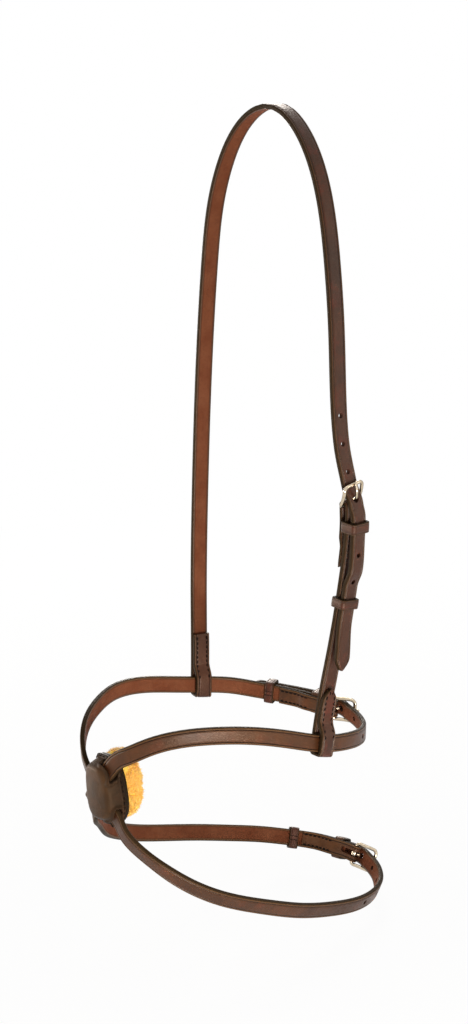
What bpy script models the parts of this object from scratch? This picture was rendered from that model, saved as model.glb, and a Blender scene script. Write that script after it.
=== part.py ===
# Figure eight noseband: straps, buckles, keepers, nose patch and fleece.
# Lengths below are in millimetres and are scaled to metres when a mesh is made.
# The origin is under the strap at the poll. X runs from nose to jaw, Y from the
# near (buckled) side to the far side, Z is up.

import math

import bpy
import bmesh
import numpy as np
from mathutils import Matrix

MM = 0.001
GAP = 0.3

# Strap leather
STRAP_W = 14.2
STRAP_T = 4.2
EDGE = 0.7
HALF_T = STRAP_T / 2
STACK = STRAP_T + GAP
SKIVED_T = 2.4
HOLE_D = 4.0
HOLE_PITCH = 22.2
TIP_LENGTH = 11.0
POLL_FLAT = 12.0

# Buckles
WIRE_D = 3.0
WIRE_R = WIRE_D / 2
BUCKLE_LENGTH = 17.0
BUCKLE_SIDE = 0.8
TOE_CORNER_R = 3.4
HEEL_CORNER_R = BUCKLE_SIDE + WIRE_R - GAP
RING_WALL = 1.1
RING_W = 3.4
TONGUE_D = 2.2
TONGUE_OVER = 2.6
SLOT_W = RING_W + 1.2
SLOT_LENGTH = 11.0

# Keepers
KEEPER_T = 1.7
KEEPER_W = 9.0
KEEPER_PLAY = 0.5

KEEPER_AT = 18.0
SLIDER_RUN = 12.0
HEAD_SLIDER, JAW_SLIDER, CHIN_SLIDER = 80.0, 62.0, 60.0
HEAD_BILLET, JAW_BILLET, CHIN_BILLET = 133.0, 82.0, 80.0
CHAPE_RETURN = 52.0
CHAPE_KEPT = (27.0, 8.0)
CHAPE_EASE = 9.0
CHAPE_SKIVE = 24.0
TONGUE_HOLE = 4.9
TONGUE_HOLE_D = 5.6

# Heights of the layers over the middle of the carrying strap
BAR_N = HALF_T - SKIVED_T - GAP - WIRE_R
RETURN_KEPT_N = -(HALF_T + GAP + KEEPER_T + GAP + SKIVED_T / 2)
RETURN_N = -(HALF_T + GAP + SKIVED_T / 2)
TOE_BILLET_N = 1.3
HEEL_BILLET_N = STACK + 0.7
KEPT_BILLET_N = STACK + 2.4
SLIDER_BILLET_N = STACK + 1.0
TOE_N = TOE_BILLET_N + HALF_T + GAP + WIRE_R

# Loops of the headpiece round the nose straps
LOOP_PLAY = 0.8
LOOP_SLACK = 0.6
LOOP_T = 2.6
LOOP_CORNER = 1.9
LOOP_SKIVE = 5.0
LAP_N = 2 * STRAP_T + 2 * LOOP_PLAY
NOSE_IN_LOOP = LAP_N / 2
LAP_LENGTH = 52.0
LAP_CLEAR = 14.0
LAP_DOWN = 26.0

# Nose patch: leather wrapped on an upright cylinder, in layers out from the head
PATCH_AXIS_X = -129.4
PATCH_Z = -520.0
BACKING_R = 32.0
BACKING_T = 3.0
SHEET_T = 2.4
RIM_R = BACKING_R + BACKING_T + GAP
STRAP_PLAY = 0.35
FLAT_RISE = (STRAP_W / 2) ** 2 / (2 * RIM_R)
UNDER_PLAY = 0.15
UNDER_R = RIM_R + HALF_T + UNDER_PLAY
OVER_R = UNDER_R + STACK + FLAT_RISE
RIDE_R = RIM_R + SHEET_T + STRAP_PLAY + 0.15 + HALF_T
DOME_R = OVER_R + HALF_T + FLAT_RISE + STRAP_PLAY + 0.1
PATCH_HALF_W = 19.3
PATCH_HALF_H = 28.5
PATCH_RISE = 2.5
PATCH_LEAN = math.radians(9)
DOME_INSET = 8.0
WALL_INSET = 3.0
WALL_RUN = DOME_INSET - WALL_INSET
WALL_RISE = DOME_R - RIM_R
WALL_SHIFT = SHEET_T * (math.hypot(WALL_RUN, WALL_RISE) - WALL_RUN) / WALL_RISE
SLIT_SIDE = 0.6
FLEECE_FRONT_R = BACKING_R - GAP
FLEECE_BACK_X = -143.0
FLEECE_HALF_W = 22.0
FLEECE_HALF_H = 26.5
FLEECE_LIFT = 1.0
FLEECE_SWELL = 1.10
OVAL = 2.9
FLEECE_OVAL = 2.0

# Where the straps run over the rim of the patch: arc and height from its middle
RIM_NEAR_UPPER = [(-9, 24), (-14, 30.5)]
RIM_NEAR_LOWER = [(-10.8, -14), (-14.9, -20)]
RIM_FAR_UPPER = [(15.8, 6)]
RIM_FAR_LOWER = [(15.5, -21.5), (11, -14.5)]
CROSS_OVER = [(6, -7), (1, 2), (-3, 11)]
CROSS_UNDER = [(8.8, 0.8), (1.5, -4.6), (-4.8, -9.3)]

# Centre line of the headpiece, from the near loop over the poll to the far loop
HEAD_ROUTE = [
    (-19.5, -79, -512), (-13, -79.5, -470), (-3, -81, -420), (6, -83.5, -362),
    (9, -85.5, -330), (9, -86.5, -302), (4, -86, -275), (-0.5, -84, -245),
    (-1.5, -81, -208), (-0.5, -77, -160),
    (0, -71, -112), (0, -63.5, -72), (-0.5, -54, -43), (-1, -42, -22),
    (-0.5, -25, -6.1), (0, -8, 1.5), (-0.5, 8, 1.5), (-2, 25, -6.4),
    (-4, 42, -24), (-6, 54, -47), (-8, 63.5, -79), (-8, 71, -122),
    (-8, 77, -180), (-8, 81.5, -240), (-8, 86, -330), (-8, 88, -410),
    (-8, 88, -470), (-9, 88, -512),
]
NEAR_TWIST_HEIGHTS = [-490, -440, -390, -320, -200]
NEAR_TWIST = [0.04, -0.08, 0.06, 0.10, -0.06]
FAR_TWIST = 0.22
TILT_HEIGHTS = [-650, -610, -570, -545, -536]
NEAR_TILT = [0.38, 0.50, 0.76, 0.80, 0.50]
FAR_TILT = [0.42, 0.42, 0.22, 0.0, 0.0]
TILT_TOP = -529
TILT_FADE = 10.0
SIDE_FADE = 40.0

# Oval of the head where the nose straps lie
NOSE_MIDDLE_X = -45.0
NOSE_HALF_LENGTH = 125.0
NOSE_HALF_WIDTH = 78.0

# Centre line of the upper nose loop, from the patch round the near side. It
# passes through the two loops of the headpiece, between these three runs.
UPPER_NEAR = [
    (-163, -26, -482.5),
    (-153, -40, -473.5), (-138, -54, -467), (-114, -67, -465.5),
    (-80, -78, -470), (-48, -83, -479),
]
UPPER_BACK = [
    (16, -80, -495.5), (37, -70, -499), (52, -55, -500.5), (60, -36, -500),
    (62, -18, -498.5), (58, 2, -497.5), (51, 21, -496.5), (42, 40, -495.5),
    (30, 58, -494), (14, 73, -491),
]
UPPER_FAR = [
    (-40, 86, -482), (-75, 82, -474), (-106, 74, -471), (-130, 62, -473.5),
    (-149, 50, -480), (-161, 38.7, -490), (-165.8, 29.7, -500.5), (-166, 23.9, -508),
]
NEAR_LOOP = (-16.5, -79.5, -489)
FAR_LOOP = (-8, 88, -488)
HEAD_HEEL = (4, -86, -297)
JAW_HEEL = (61, -9, -498.5)
CHIN_HEEL = (97.5, 4, -644)

# Centre line of the lower nose loop, from the patch round the near side
LOWER_ROUTE = [
    (-165.3, -21.4, -547), (-156.9, -31.7, -562),
    (-146.3, -43.3, -574), (-129.5, -54.6, -588.5), (-101, -65, -605.5),
    (-62, -71, -621.5), (-27, -72.5, -634),
    (8, -71, -643), (42, -66, -649), (67, -56, -650.5), (82, -44, -650),
    (92.5, -28, -648.5), (97.5, -10, -646), (97.5, 7, -644), (93, 24, -643.5),
    (84, 40, -641.5), (69, 55, -639), (44, 66, -633), (12, 71, -625),
    (-22, 72.5, -616), (-60, 71, -606), (-93, 66, -595.5),
    (-117, 57.5, -584.5), (-136, 46, -572), (-152, 32, -556),
]

LEATHER = ("havana leather", (0.075, 0.026, 0.014), 0.0, 0.42)
PATCH_LEATHER = ("patch leather", (0.085, 0.040, 0.022), 0.0, 0.45)
STEEL = ("polished nickel", (0.78, 0.74, 0.68), 1.0, 0.14)
FLEECE = ("sheepskin fleece", (0.90, 0.52, 0.11), 0.0, 0.95)


def unit(v):
    v = np.asarray(v, float)
    return v / np.linalg.norm(v, axis=-1, keepdims=True)


def natural_spline(points, step):
    """Even samples, with tangents, of a natural cubic spline."""
    pts = np.asarray(points, float)
    chord = np.linalg.norm(np.diff(pts, axis=0), axis=1)
    t = np.concatenate([[0], np.cumsum(chord)])
    count = len(t)
    system = np.eye(count)
    rhs = np.zeros((count, 3))
    for i in range(1, count - 1):
        before, after = chord[i - 1], chord[i]
        system[i, i - 1:i + 2] = before, 2 * (before + after), after
        rise = (pts[i + 1] - pts[i]) / after
        fall = (pts[i] - pts[i - 1]) / before
        rhs[i] = 6 * (rise - fall)
    bend = np.linalg.solve(system, rhs)
    fine = np.linspace(0, t[-1], int(t[-1] * 4))
    k = np.clip(np.searchsorted(t, fine, side="right") - 1, 0, count - 2)
    h = chord[k][:, None]
    a = ((t[k + 1] - fine) / chord[k])[:, None]
    b = 1 - a
    curve = a * pts[k] + b * pts[k + 1]
    curve += ((a ** 3 - a) * bend[k] + (b ** 3 - b) * bend[k + 1]) * h ** 2 / 6
    run = np.linalg.norm(np.diff(curve, axis=0), axis=1)
    arc = np.concatenate([[0], np.cumsum(run)])
    even = np.linspace(0, arc[-1], int(arc[-1] / step) + 1)
    return np.stack([np.interp(even, arc, curve[:, i]) for i in range(3)], 1)


def head_side(points, tangents):
    """Width direction of the headpiece: front to back, toed in at the cheeks."""
    near = np.clip(-points[:, 1] / 80, 0, 1)
    far = np.clip(points[:, 1] / 80, 0, 1)
    lean = near * np.interp(points[:, 2], NEAR_TWIST_HEIGHTS, NEAR_TWIST)
    lean -= far * FAR_TWIST
    side = np.stack([np.ones(len(points)), lean, np.zeros(len(points))], 1)
    side -= np.sum(side * tangents, 1)[:, None] * tangents
    return unit(side)


def nose_side(points, tangents):
    """Width direction of a nose strap lying flat against the head."""
    out = unit(np.stack([(points[:, 0] - NOSE_MIDDLE_X) / NOSE_HALF_LENGTH ** 2,
                         points[:, 1] / NOSE_HALF_WIDTH ** 2,
                         np.zeros(len(points))], 1))
    near = np.interp(points[:, 2], TILT_HEIGHTS, NEAR_TILT)
    far = np.interp(points[:, 2], TILT_HEIGHTS, FAR_TILT)
    share = np.clip(0.5 + points[:, 1] / SIDE_FADE, 0, 1)
    low = np.clip((TILT_TOP - points[:, 2]) / TILT_FADE, 0, 1)
    out[:, 2] = -low * (near + share * (far - near))
    return unit(np.cross(out, tangents))


class Line:
    """A smooth route with a width direction and an outward direction."""

    def __init__(self, points, side, step=0.5, outward=1.0):
        self.p = natural_spline(points, step)
        self.t = unit(np.gradient(self.p, axis=0))
        self.w = side(self.p, self.t)
        self.n = outward * unit(np.cross(self.t, self.w))
        run = np.linalg.norm(np.diff(self.p, axis=0), axis=1)
        self.s = np.concatenate([[0], np.cumsum(run)])
        self.length = self.s[-1]

    def sample(self, values, s):
        s = np.atleast_1d(np.asarray(s, float))
        return np.stack([np.interp(s, self.s, values[:, i]) for i in range(3)], 1)

    def at(self, s, n=0.0, w=0.0):
        s = np.atleast_1d(np.asarray(s, float))
        n = np.broadcast_to(n, s.shape)[:, None]
        w = np.broadcast_to(w, s.shape)[:, None]
        point = self.sample(self.p, s)
        return point + n * self.sample(self.n, s) + w * self.sample(self.w, s)

    def side(self, s):
        return unit(self.sample(self.w, s))

    def near(self, point):
        gap = np.linalg.norm(self.p - np.asarray(point, float), axis=1)
        return float(self.s[int(np.argmin(gap))])

    def run_at(self, point):
        return unit(self.sample(self.t, self.near(point)))[0]

    def frame(self, s, flip=1.0):
        """Matrix at s: X toward the toe, Y across, Z outward."""
        x = flip * unit(self.sample(self.t, s))[0]
        z = unit(self.sample(self.n, s))[0]
        z = unit(z - np.dot(z, x) * x)
        y = np.cross(z, x)
        m = Matrix.Identity(4)
        for i in range(3):
            m[i][0], m[i][1], m[i][2] = x[i], y[i], z[i]
            m[i][3] = self.at(s)[0][i] * MM
        return m


def ease(x, knots, values):
    """Piecewise value with level, smooth steps between the knots."""
    x = np.asarray(x, float)
    knots = np.asarray(knots, float)
    values = np.asarray(values, float)
    k = np.clip(np.searchsorted(knots, x, side="right") - 1, 0, len(knots) - 2)
    f = np.clip((x - knots[k]) / (knots[k + 1] - knots[k]), 0, 1)
    f = f * f * (3 - 2 * f)
    return values[k] + (values[k + 1] - values[k]) * f


class Ribbon:
    """Stations of one strap: place, width direction, width and thickness."""

    def __init__(self):
        self.rows = []

    def add(self, points, sides, width, thick):
        width = np.broadcast_to(width, len(points))
        thick = np.broadcast_to(thick, len(points))
        for p, d, w, t in zip(points, sides, width, thick):
            self.rows.append((np.array(p), np.array(d), float(w), float(t)))

    def run(self, line, start, end, height=None, thick=None, step=6.0, width=None):
        """Follow a line from start to end at an eased height above it."""
        count = max(2, int(abs(end - start) / step) + 1)
        s = np.linspace(start, end, count)
        n = np.zeros(count) if height is None else ease(s, *height)
        t = STRAP_T if thick is None else ease(s, *thick)
        w = STRAP_W if width is None else width(s)
        self.add(line.at(s, n), line.side(s), w, t)

    def wrap(self, line, s, n_from, n_to, toward, across, count=3):
        """Turn under the edge of a strap that runs across, with rounded corners."""
        corner = LOOP_CORNER
        step = math.copysign(1, n_to - n_from)
        angle = np.linspace(0, math.pi / 2, count + 1)[1:]
        depth = corner * np.sin(angle)
        inset = corner * (1 - np.cos(angle))
        n = np.concatenate([n_from + step * inset, (n_to - step * inset)[::-1]])
        along = s + toward * np.concatenate([depth, depth[::-1]])
        self.add(line.at(along, n), [across] * len(n), STRAP_W, LOOP_T)

    def fold(self, line, s, n_from, n_to, toward, thick, count=8):
        """Half turn about a bar across the line at s."""
        middle = (n_from + n_to) / 2
        radius = (n_from - n_to) / 2
        angle = np.linspace(0, math.pi, count + 2)[1:-1]
        along = s + toward * abs(radius) * np.sin(angle)
        n = middle + radius * np.cos(angle)
        self.add(line.at(along, n), line.side(along), STRAP_W, thick)


def collection(name):
    made = bpy.data.collections.new(name)
    bpy.context.scene.collection.children.link(made)
    return made


def material(spec):
    name, colour, metal, rough = spec
    found = bpy.data.materials.get(name)
    if found:
        return found
    made = bpy.data.materials.new(name)
    made.use_nodes = True
    shader = made.node_tree.nodes["Principled BSDF"]
    shader.inputs["Base Color"].default_value = (*colour, 1.0)
    shader.inputs["Metallic"].default_value = metal
    shader.inputs["Roughness"].default_value = rough
    made.diffuse_color = (*colour, 1.0)
    return made


def mesh_object(name, verts, faces, spec, smooth=True, where=None):
    mesh = bpy.data.meshes.new(name)
    mesh.from_pydata([tuple(float(c) * MM for c in v) for v in verts], [], faces)
    mesh.validate()
    work = bmesh.new()
    work.from_mesh(mesh)
    bmesh.ops.recalc_face_normals(work, faces=work.faces)
    work.to_mesh(mesh)
    work.free()
    obj = bpy.data.objects.new(name, mesh)
    (where or PIECES).objects.link(obj)
    if spec:
        mesh.materials.append(material(spec))
    if smooth:
        mesh.shade_smooth()
    return obj


def ribbon_object(name, ribbon, spec):
    """Loft a chamfered strap section through the stations of a ribbon."""
    rows = ribbon.rows
    p = np.array([r[0] for r in rows])
    w = np.array([r[1] for r in rows])
    wide = np.array([r[2] for r in rows])
    thick = np.array([r[3] for r in rows])
    t = unit(np.gradient(p, axis=0))
    w = unit(w - np.sum(w * t, 1)[:, None] * t)
    n = np.cross(t, w)
    verts = []
    for i in range(len(rows)):
        hw, ht = wide[i] / 2, thick[i] / 2
        e = min(EDGE, 0.45 * ht, 0.45 * hw)
        outline = [(hw, ht - e), (hw - e, ht), (-hw + e, ht), (-hw, ht - e),
                   (-hw, -ht + e), (-hw + e, -ht), (hw - e, -ht), (hw, -ht + e)]
        for a, b in outline:
            verts.append(p[i] + a * w[i] + b * n[i])
    faces = []
    ring = 8
    for i in range(len(rows) - 1):
        for k in range(ring):
            m = (k + 1) % ring
            faces.append((i * ring + k, i * ring + m,
                          (i + 1) * ring + m, (i + 1) * ring + k))
    faces.append(tuple(range(ring)))
    last = (len(rows) - 1) * ring
    faces.append(tuple(last + k for k in reversed(range(ring))))
    return mesh_object(name, verts, faces, spec)


def cut(obj, cutters):
    """Exact difference with each cutter, applied at once."""
    for cutter in cutters:
        mod = obj.modifiers.new("cut", "BOOLEAN")
        mod.operation = "DIFFERENCE"
        mod.solver = "EXACT"
        mod.object = cutter


def hide(obj):
    for holder in list(obj.users_collection):
        holder.objects.unlink(obj)
    CUTTERS.objects.link(obj)
    obj.hide_render = True
    obj.display_type = "WIRE"
    return obj


def cylinder_at(name, matrix, radius, depth, sides=12):
    work = bmesh.new()
    bmesh.ops.create_cone(work, cap_ends=True, segments=sides, radius1=radius * MM,
                          radius2=radius * MM, depth=depth * MM)
    mesh = bpy.data.meshes.new(name)
    work.to_mesh(mesh)
    work.free()
    obj = bpy.data.objects.new(name, mesh)
    PIECES.objects.link(obj)
    obj.matrix_world = matrix
    return obj


def hole_cutters(name, line, places, height, radius=HOLE_D / 2):
    made = []
    for i, s in enumerate(places):
        m = line.frame(s) @ Matrix.Translation((0, 0, height(s) * MM))
        made.append(hide(cylinder_at(f"{name} {i + 1}", m, radius, 3 * STRAP_T)))
    return made


def tip_width(end, toward):
    """Width of a billet that narrows to a blunt point at its end."""
    def width(s):
        left = np.clip((end - s) * toward / TIP_LENGTH, 0, 1)
        return STRAP_W * (0.16 + 0.84 * np.sin(left * math.pi / 2) ** 0.9)
    return width


def tube(name, points, radius, spec, ring=10, closed=True):
    """Round wire swept along points with a bevelled curve."""
    curve = bpy.data.curves.new(name, "CURVE")
    curve.dimensions = "3D"
    curve.bevel_depth = radius * MM
    curve.bevel_resolution = ring // 2 - 2
    curve.use_fill_caps = True
    path = curve.splines.new("POLY")
    path.points.add(len(points) - 1)
    for spot, p in zip(path.points, points):
        spot.co = (p[0] * MM, p[1] * MM, p[2] * MM, 1)
    path.use_cyclic_u = closed
    holder = bpy.data.objects.new(name, curve)
    PIECES.objects.link(holder)
    bpy.context.view_layer.update()
    graph = bpy.context.evaluated_depsgraph_get()
    mesh = bpy.data.meshes.new_from_object(holder.evaluated_get(graph))
    bpy.data.objects.remove(holder)
    bpy.data.curves.remove(curve)
    work = bmesh.new()
    work.from_mesh(mesh)
    bmesh.ops.remove_doubles(work, verts=work.verts, dist=0.00001)
    bmesh.ops.recalc_face_normals(work, faces=work.faces)
    work.to_mesh(mesh)
    work.free()
    mesh.materials.clear()
    mesh.materials.append(material(spec))
    mesh.shade_smooth()
    mesh.name = name
    return mesh


def buckle_frame_mesh():
    """Wire buckle, heel bar on Y through the origin, arched up to the toe bar."""
    half = STRAP_W / 2 + BUCKLE_SIDE + WIRE_R
    rise = TOE_N - BAR_N
    flat = []
    corners = [(0, half), (BUCKLE_LENGTH, half), (BUCKLE_LENGTH, -half), (0, -half)]
    inward = [(1, -1), (-1, -1), (-1, 1), (1, 1)]
    turn = [(180, 90), (90, 0), (0, -90), (-90, -180)]
    for (x, y), (ix, iy), (a0, a1) in zip(corners, inward, turn):
        r = TOE_CORNER_R if x else HEEL_CORNER_R
        cx, cy = x + ix * r, y + iy * r
        for a in np.linspace(a0, a1, 5):
            flat.append((cx + r * math.cos(math.radians(a)),
                         cy + r * math.sin(math.radians(a))))
    points = []
    for x, y in flat:
        f = x / BUCKLE_LENGTH
        points.append((x, y, rise * (f + 0.16 * math.sin(f * math.pi))))
    dense = []
    for i in range(len(points)):
        a, b = np.array(points[i]), np.array(points[(i + 1) % len(points)])
        dense.append(a)
        if np.linalg.norm(b - a) > 5:
            middle = (a + b) / 2
            f = middle[0] / BUCKLE_LENGTH
            middle[2] = rise * (f + 0.16 * math.sin(f * math.pi))
            dense.append(middle)
    return tube("buckle frame", dense, WIRE_R, STEEL)


def tongue_points():
    toe_top = TOE_N - BAR_N + WIRE_R + GAP + TONGUE_D / 2
    start = WIRE_R + GAP + RING_WALL / 2
    over = HEEL_BILLET_N - BAR_N + HALF_T + TONGUE_D / 2 - 0.9
    route = [(start * 0.80, 0, start * 0.60), (3.4, 0, 3.2), (4.7, 0, 6.2),
             (6.2, 0, over - 0.9), (8.8, 0, over), (12.4, 0, toe_top + 0.2),
             (15.0, 0, toe_top), (BUCKLE_LENGTH + TONGUE_OVER, 0, toe_top - 0.25)]
    return natural_spline(route, 1.7)


def tongue_mesh():
    """Rolled eye round the heel bar, joined to a blade that rests on the toe."""
    inner = WIRE_R + GAP
    outer = inner + RING_WALL
    count = 16
    verts, faces = [], []
    for i in range(count):
        a = 2 * math.pi * i / count
        for r, y in ((inner, -RING_W / 2), (outer, -RING_W / 2),
                     (outer, RING_W / 2), (inner, RING_W / 2)):
            verts.append((r * math.cos(a), y, r * math.sin(a)))
    for i in range(count):
        j = (i + 1) % count
        for k in range(4):
            m = (k + 1) % 4
            faces.append((4 * i + k, 4 * i + m, 4 * j + m, 4 * j + k))
    eye = mesh_object("tongue eye", verts, faces, STEEL)
    blade_mesh = tube("tongue blade", tongue_points(), TONGUE_D / 2, STEEL,
                      closed=False)
    blade = bpy.data.objects.new("tongue blade", blade_mesh)
    PIECES.objects.link(blade)
    bore = hide(cylinder_at("tongue bore",
                            Matrix.Rotation(math.pi / 2, 4, "X"), inner, 12.0, 20))
    join = eye.modifiers.new("join", "BOOLEAN")
    join.operation = "UNION"
    join.solver = "EXACT"
    join.object = blade
    clear = eye.modifiers.new("clear", "BOOLEAN")
    clear.operation = "DIFFERENCE"
    clear.solver = "EXACT"
    clear.object = bore
    bpy.context.view_layer.update()
    graph = bpy.context.evaluated_depsgraph_get()
    mesh = bpy.data.meshes.new_from_object(eye.evaluated_get(graph))
    mesh.name = "buckle tongue"
    for used in (eye, blade, bore):
        bpy.data.objects.remove(used)
    return mesh


def band_object(name, low, high, width):
    """Keeper band: a rounded leather loop round a stack of straps."""
    half = STRAP_W / 2 + KEEPER_PLAY
    outline = []
    radius = 1.2
    for cx, cz, a0 in ((half - radius, high - radius, 0), (-half + radius, high - radius, 90),
                       (-half + radius, low + radius, 180), (half - radius, low + radius, 270)):
        for k in range(4):
            a = math.radians(a0 + 30 * k)
            outline.append((cx, cz, math.cos(a), math.sin(a), radius))
    verts, faces = [], []
    profile = [(-width / 2, 0.0), (-width / 2, KEEPER_T - 0.4), (-width / 2 + 0.4, KEEPER_T),
               (width / 2 - 0.4, KEEPER_T), (width / 2, KEEPER_T - 0.4), (width / 2, 0.0)]
    for cx, cz, c, s, r in outline:
        for x, grow in profile:
            verts.append((x, cx + (r + grow) * c, cz + (r + grow) * s))
    count, ring = len(outline), len(profile)
    for i in range(count):
        j = (i + 1) % count
        for k in range(ring):
            m = (k + 1) % ring
            faces.append((ring * i + k, ring * i + m, ring * j + m, ring * j + k))
    obj = mesh_object(name, verts, faces, LEATHER)
    return obj


def buckle_set(name, line, heel, toe, slide_at):
    """Buckle, tongue and the two keepers of one closed billet."""
    bar = line.frame(heel, toe) @ Matrix.Translation((0, 0, BAR_N * MM))
    for label, mesh in (("buckle_frame", FRAME_MESH), ("buckle_tongue", TONGUE_MESH)):
        obj = bpy.data.objects.new(f"{name}_{label}", mesh)
        PIECES.objects.link(obj)
        obj.matrix_world = bar
    low = -(HALF_T + GAP)
    clear = HALF_T + GAP + KEEPER_PLAY
    fixed = band_object(f"{name}_fixed_keeper", low, KEPT_BILLET_N + clear, KEEPER_W)
    fixed.matrix_world = line.frame(heel - toe * KEEPER_AT, toe)
    slide = band_object(f"{name}_sliding_keeper", low - KEEPER_PLAY,
                        SLIDER_BILLET_N + clear, KEEPER_W - 1)
    slide.matrix_world = line.frame(slide_at, toe)
    return bar


def slot_cutter(name, bar):
    """Slot across the fold of a chape, where the tongue turns on the bar."""
    work = bmesh.new()
    bmesh.ops.create_cube(work, size=1.0)
    mesh = bpy.data.meshes.new(name)
    work.to_mesh(mesh)
    work.free()
    obj = bpy.data.objects.new(name, mesh)
    PIECES.objects.link(obj)
    size = (SLOT_LENGTH + 8, SLOT_W, 12.0)
    spot = Matrix.Translation(((8 - SLOT_LENGTH) / 2 * MM, 0, 0))
    scale = Matrix.Diagonal((size[0] * MM, size[1] * MM, size[2] * MM, 1))
    mesh.transform(bar @ spot @ scale)
    return hide(obj)


def lap_far(strap, line, fold, across):
    """Far end of the headpiece: down, under the nose strap and up inside."""
    skive = sorted_knots([fold, fold - LOOP_SKIVE], [LOOP_T, STRAP_T])
    strap.run(line, fold - LAP_CLEAR, fold, thick=skive, step=3.5)
    strap.wrap(line, fold, 0.0, -LAP_N, 1, across)
    lap = sorted_knots([fold, fold - LAP_CLEAR, fold - LAP_DOWN], [-LAP_N, -LAP_N, -STACK])
    strap.run(line, fold, fold - LAP_LENGTH, lap, skive, step=3.5)


def chape(ribbon, line, heel, toe):
    """Free end, fold round the heel bar, and back to full thickness; toe is +-1."""
    outer = HALF_T - SKIVED_T / 2
    folded = 2 * BAR_N - outer
    far, close = CHAPE_KEPT
    spots = [heel - toe * d for d in (CHAPE_RETURN, far + CHAPE_EASE, far, close, 0)]
    levels = [RETURN_N, RETURN_N, RETURN_KEPT_N, RETURN_KEPT_N, folded]
    ribbon.run(line, spots[0], heel, sorted_knots(spots, levels),
               sorted_knots(spots[:1] + [heel], [SKIVED_T, SKIVED_T]), 4.5)
    ribbon.fold(line, heel, folded, outer, toe, SKIVED_T)
    full = heel - toe * CHAPE_SKIVE
    ribbon.run(line, heel, full, sorted_knots([heel, full], [outer, 0]),
               sorted_knots([heel, full], [SKIVED_T, STRAP_T]), 4.0)
    return full


def sorted_knots(spots, values):
    order = np.argsort(spots)
    return [spots[i] for i in order], [values[i] for i in order]


def billet_height(heel, toe, slide, tip, curl, bow):
    """Height of a billet over the carrying strap, from its tip to its own strap."""
    kept = heel - toe * (KEEPER_AT + KEEPER_W / 2)
    calm = slide + toe * (SLIDER_RUN + 2)
    spots = [tip, slide - toe * (SLIDER_RUN + 2), calm, (calm * 2 + kept) / 3, kept,
             heel - toe * 10, heel, heel + toe * BUCKLE_LENGTH, heel + toe * 48]
    return sorted_knots(spots, [SLIDER_BILLET_N + curl, SLIDER_BILLET_N, SLIDER_BILLET_N,
                                SLIDER_BILLET_N + bow, KEPT_BILLET_N, KEPT_BILLET_N,
                                HEEL_BILLET_N, TOE_BILLET_N, 0.0])


def height_at(knots):
    return lambda s: float(ease([s], *knots)[0])


def patch_point(a, z, r):
    angle = a / RIM_R
    return (PATCH_AXIS_X - r * math.cos(angle), r * math.sin(angle), PATCH_Z + z)


def on_patch(places, r):
    return [patch_point(a, z, r) for a, z in places]


def leaned(a, z):
    """Place on the patch of a point of its upright outline."""
    c, s = math.cos(PATCH_LEAN), math.sin(PATCH_LEAN)
    return a * c + z * s, PATCH_RISE + z * c - a * s


def oval_outline(half_w, half_h, count, power=OVAL):
    points = []
    for k in range(count):
        c = math.cos(2 * math.pi * k / count)
        s = math.sin(2 * math.pi * k / count)
        points.append((half_w * math.copysign(abs(c) ** (2 / power), c),
                       half_h * math.copysign(abs(s) ** (2 / power), s)))
    return points


def patch_shell(name, outer, inner, sides=30):
    """Closed oval piece on the nose cylinder from its two profiles. Each profile
    is a list of insets from the rim and radii, from the middle out to the rim."""
    rings = outer + inner[::-1]
    verts = []
    for inset, r in rings:
        outline = oval_outline(PATCH_HALF_W - inset, PATCH_HALF_H - inset, sides)
        verts += [patch_point(*leaned(a, z), r) for a, z in outline]
    verts.append(patch_point(*leaned(0, 0), outer[0][1]))
    verts.append(patch_point(*leaned(0, 0), inner[0][1]))
    top, under = len(verts) - 2, len(verts) - 1
    faces = []
    for k in range(sides):
        m = (k + 1) % sides
        faces.append((top, k, m))
        for r in range(len(rings) - 1):
            a, b = r * sides, (r + 1) * sides
            faces.append((a + k, b + k, b + m, a + m))
        end = (len(rings) - 1) * sides
        faces.append((under, end + m, end + k))
    return mesh_object(name, verts, faces, PATCH_LEATHER)


def patch_cover(name):
    """Domed cover: flat top, steep wall and a narrow flange sewn to the backing."""
    top, rim = DOME_R + SHEET_T, RIM_R + SHEET_T
    wall = [(WALL_INSET + WALL_RUN * f, rim + WALL_RISE * f) for f in (0.85, 0.4, 0.08)]
    outer = [(DOME_INSET + 6, top), (DOME_INSET + 1, top)] + wall
    outer += [(WALL_INSET - EDGE, rim), (EDGE, rim), (0, rim - EDGE)]
    inside = WALL_INSET + WALL_SHIFT
    inner = [(DOME_INSET + 6, DOME_R), (DOME_INSET + WALL_SHIFT, DOME_R), (inside, RIM_R),
             (EDGE, RIM_R), (0, RIM_R + EDGE)]
    return patch_shell(name, outer, inner)


def patch_backing(name):
    outside = BACKING_R + BACKING_T
    outer = [(10, outside), (EDGE, outside), (0, outside - EDGE)]
    inner = [(10, BACKING_R), (EDGE, BACKING_R), (0, BACKING_R + EDGE)]
    return patch_shell(name, outer, inner)


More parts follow.
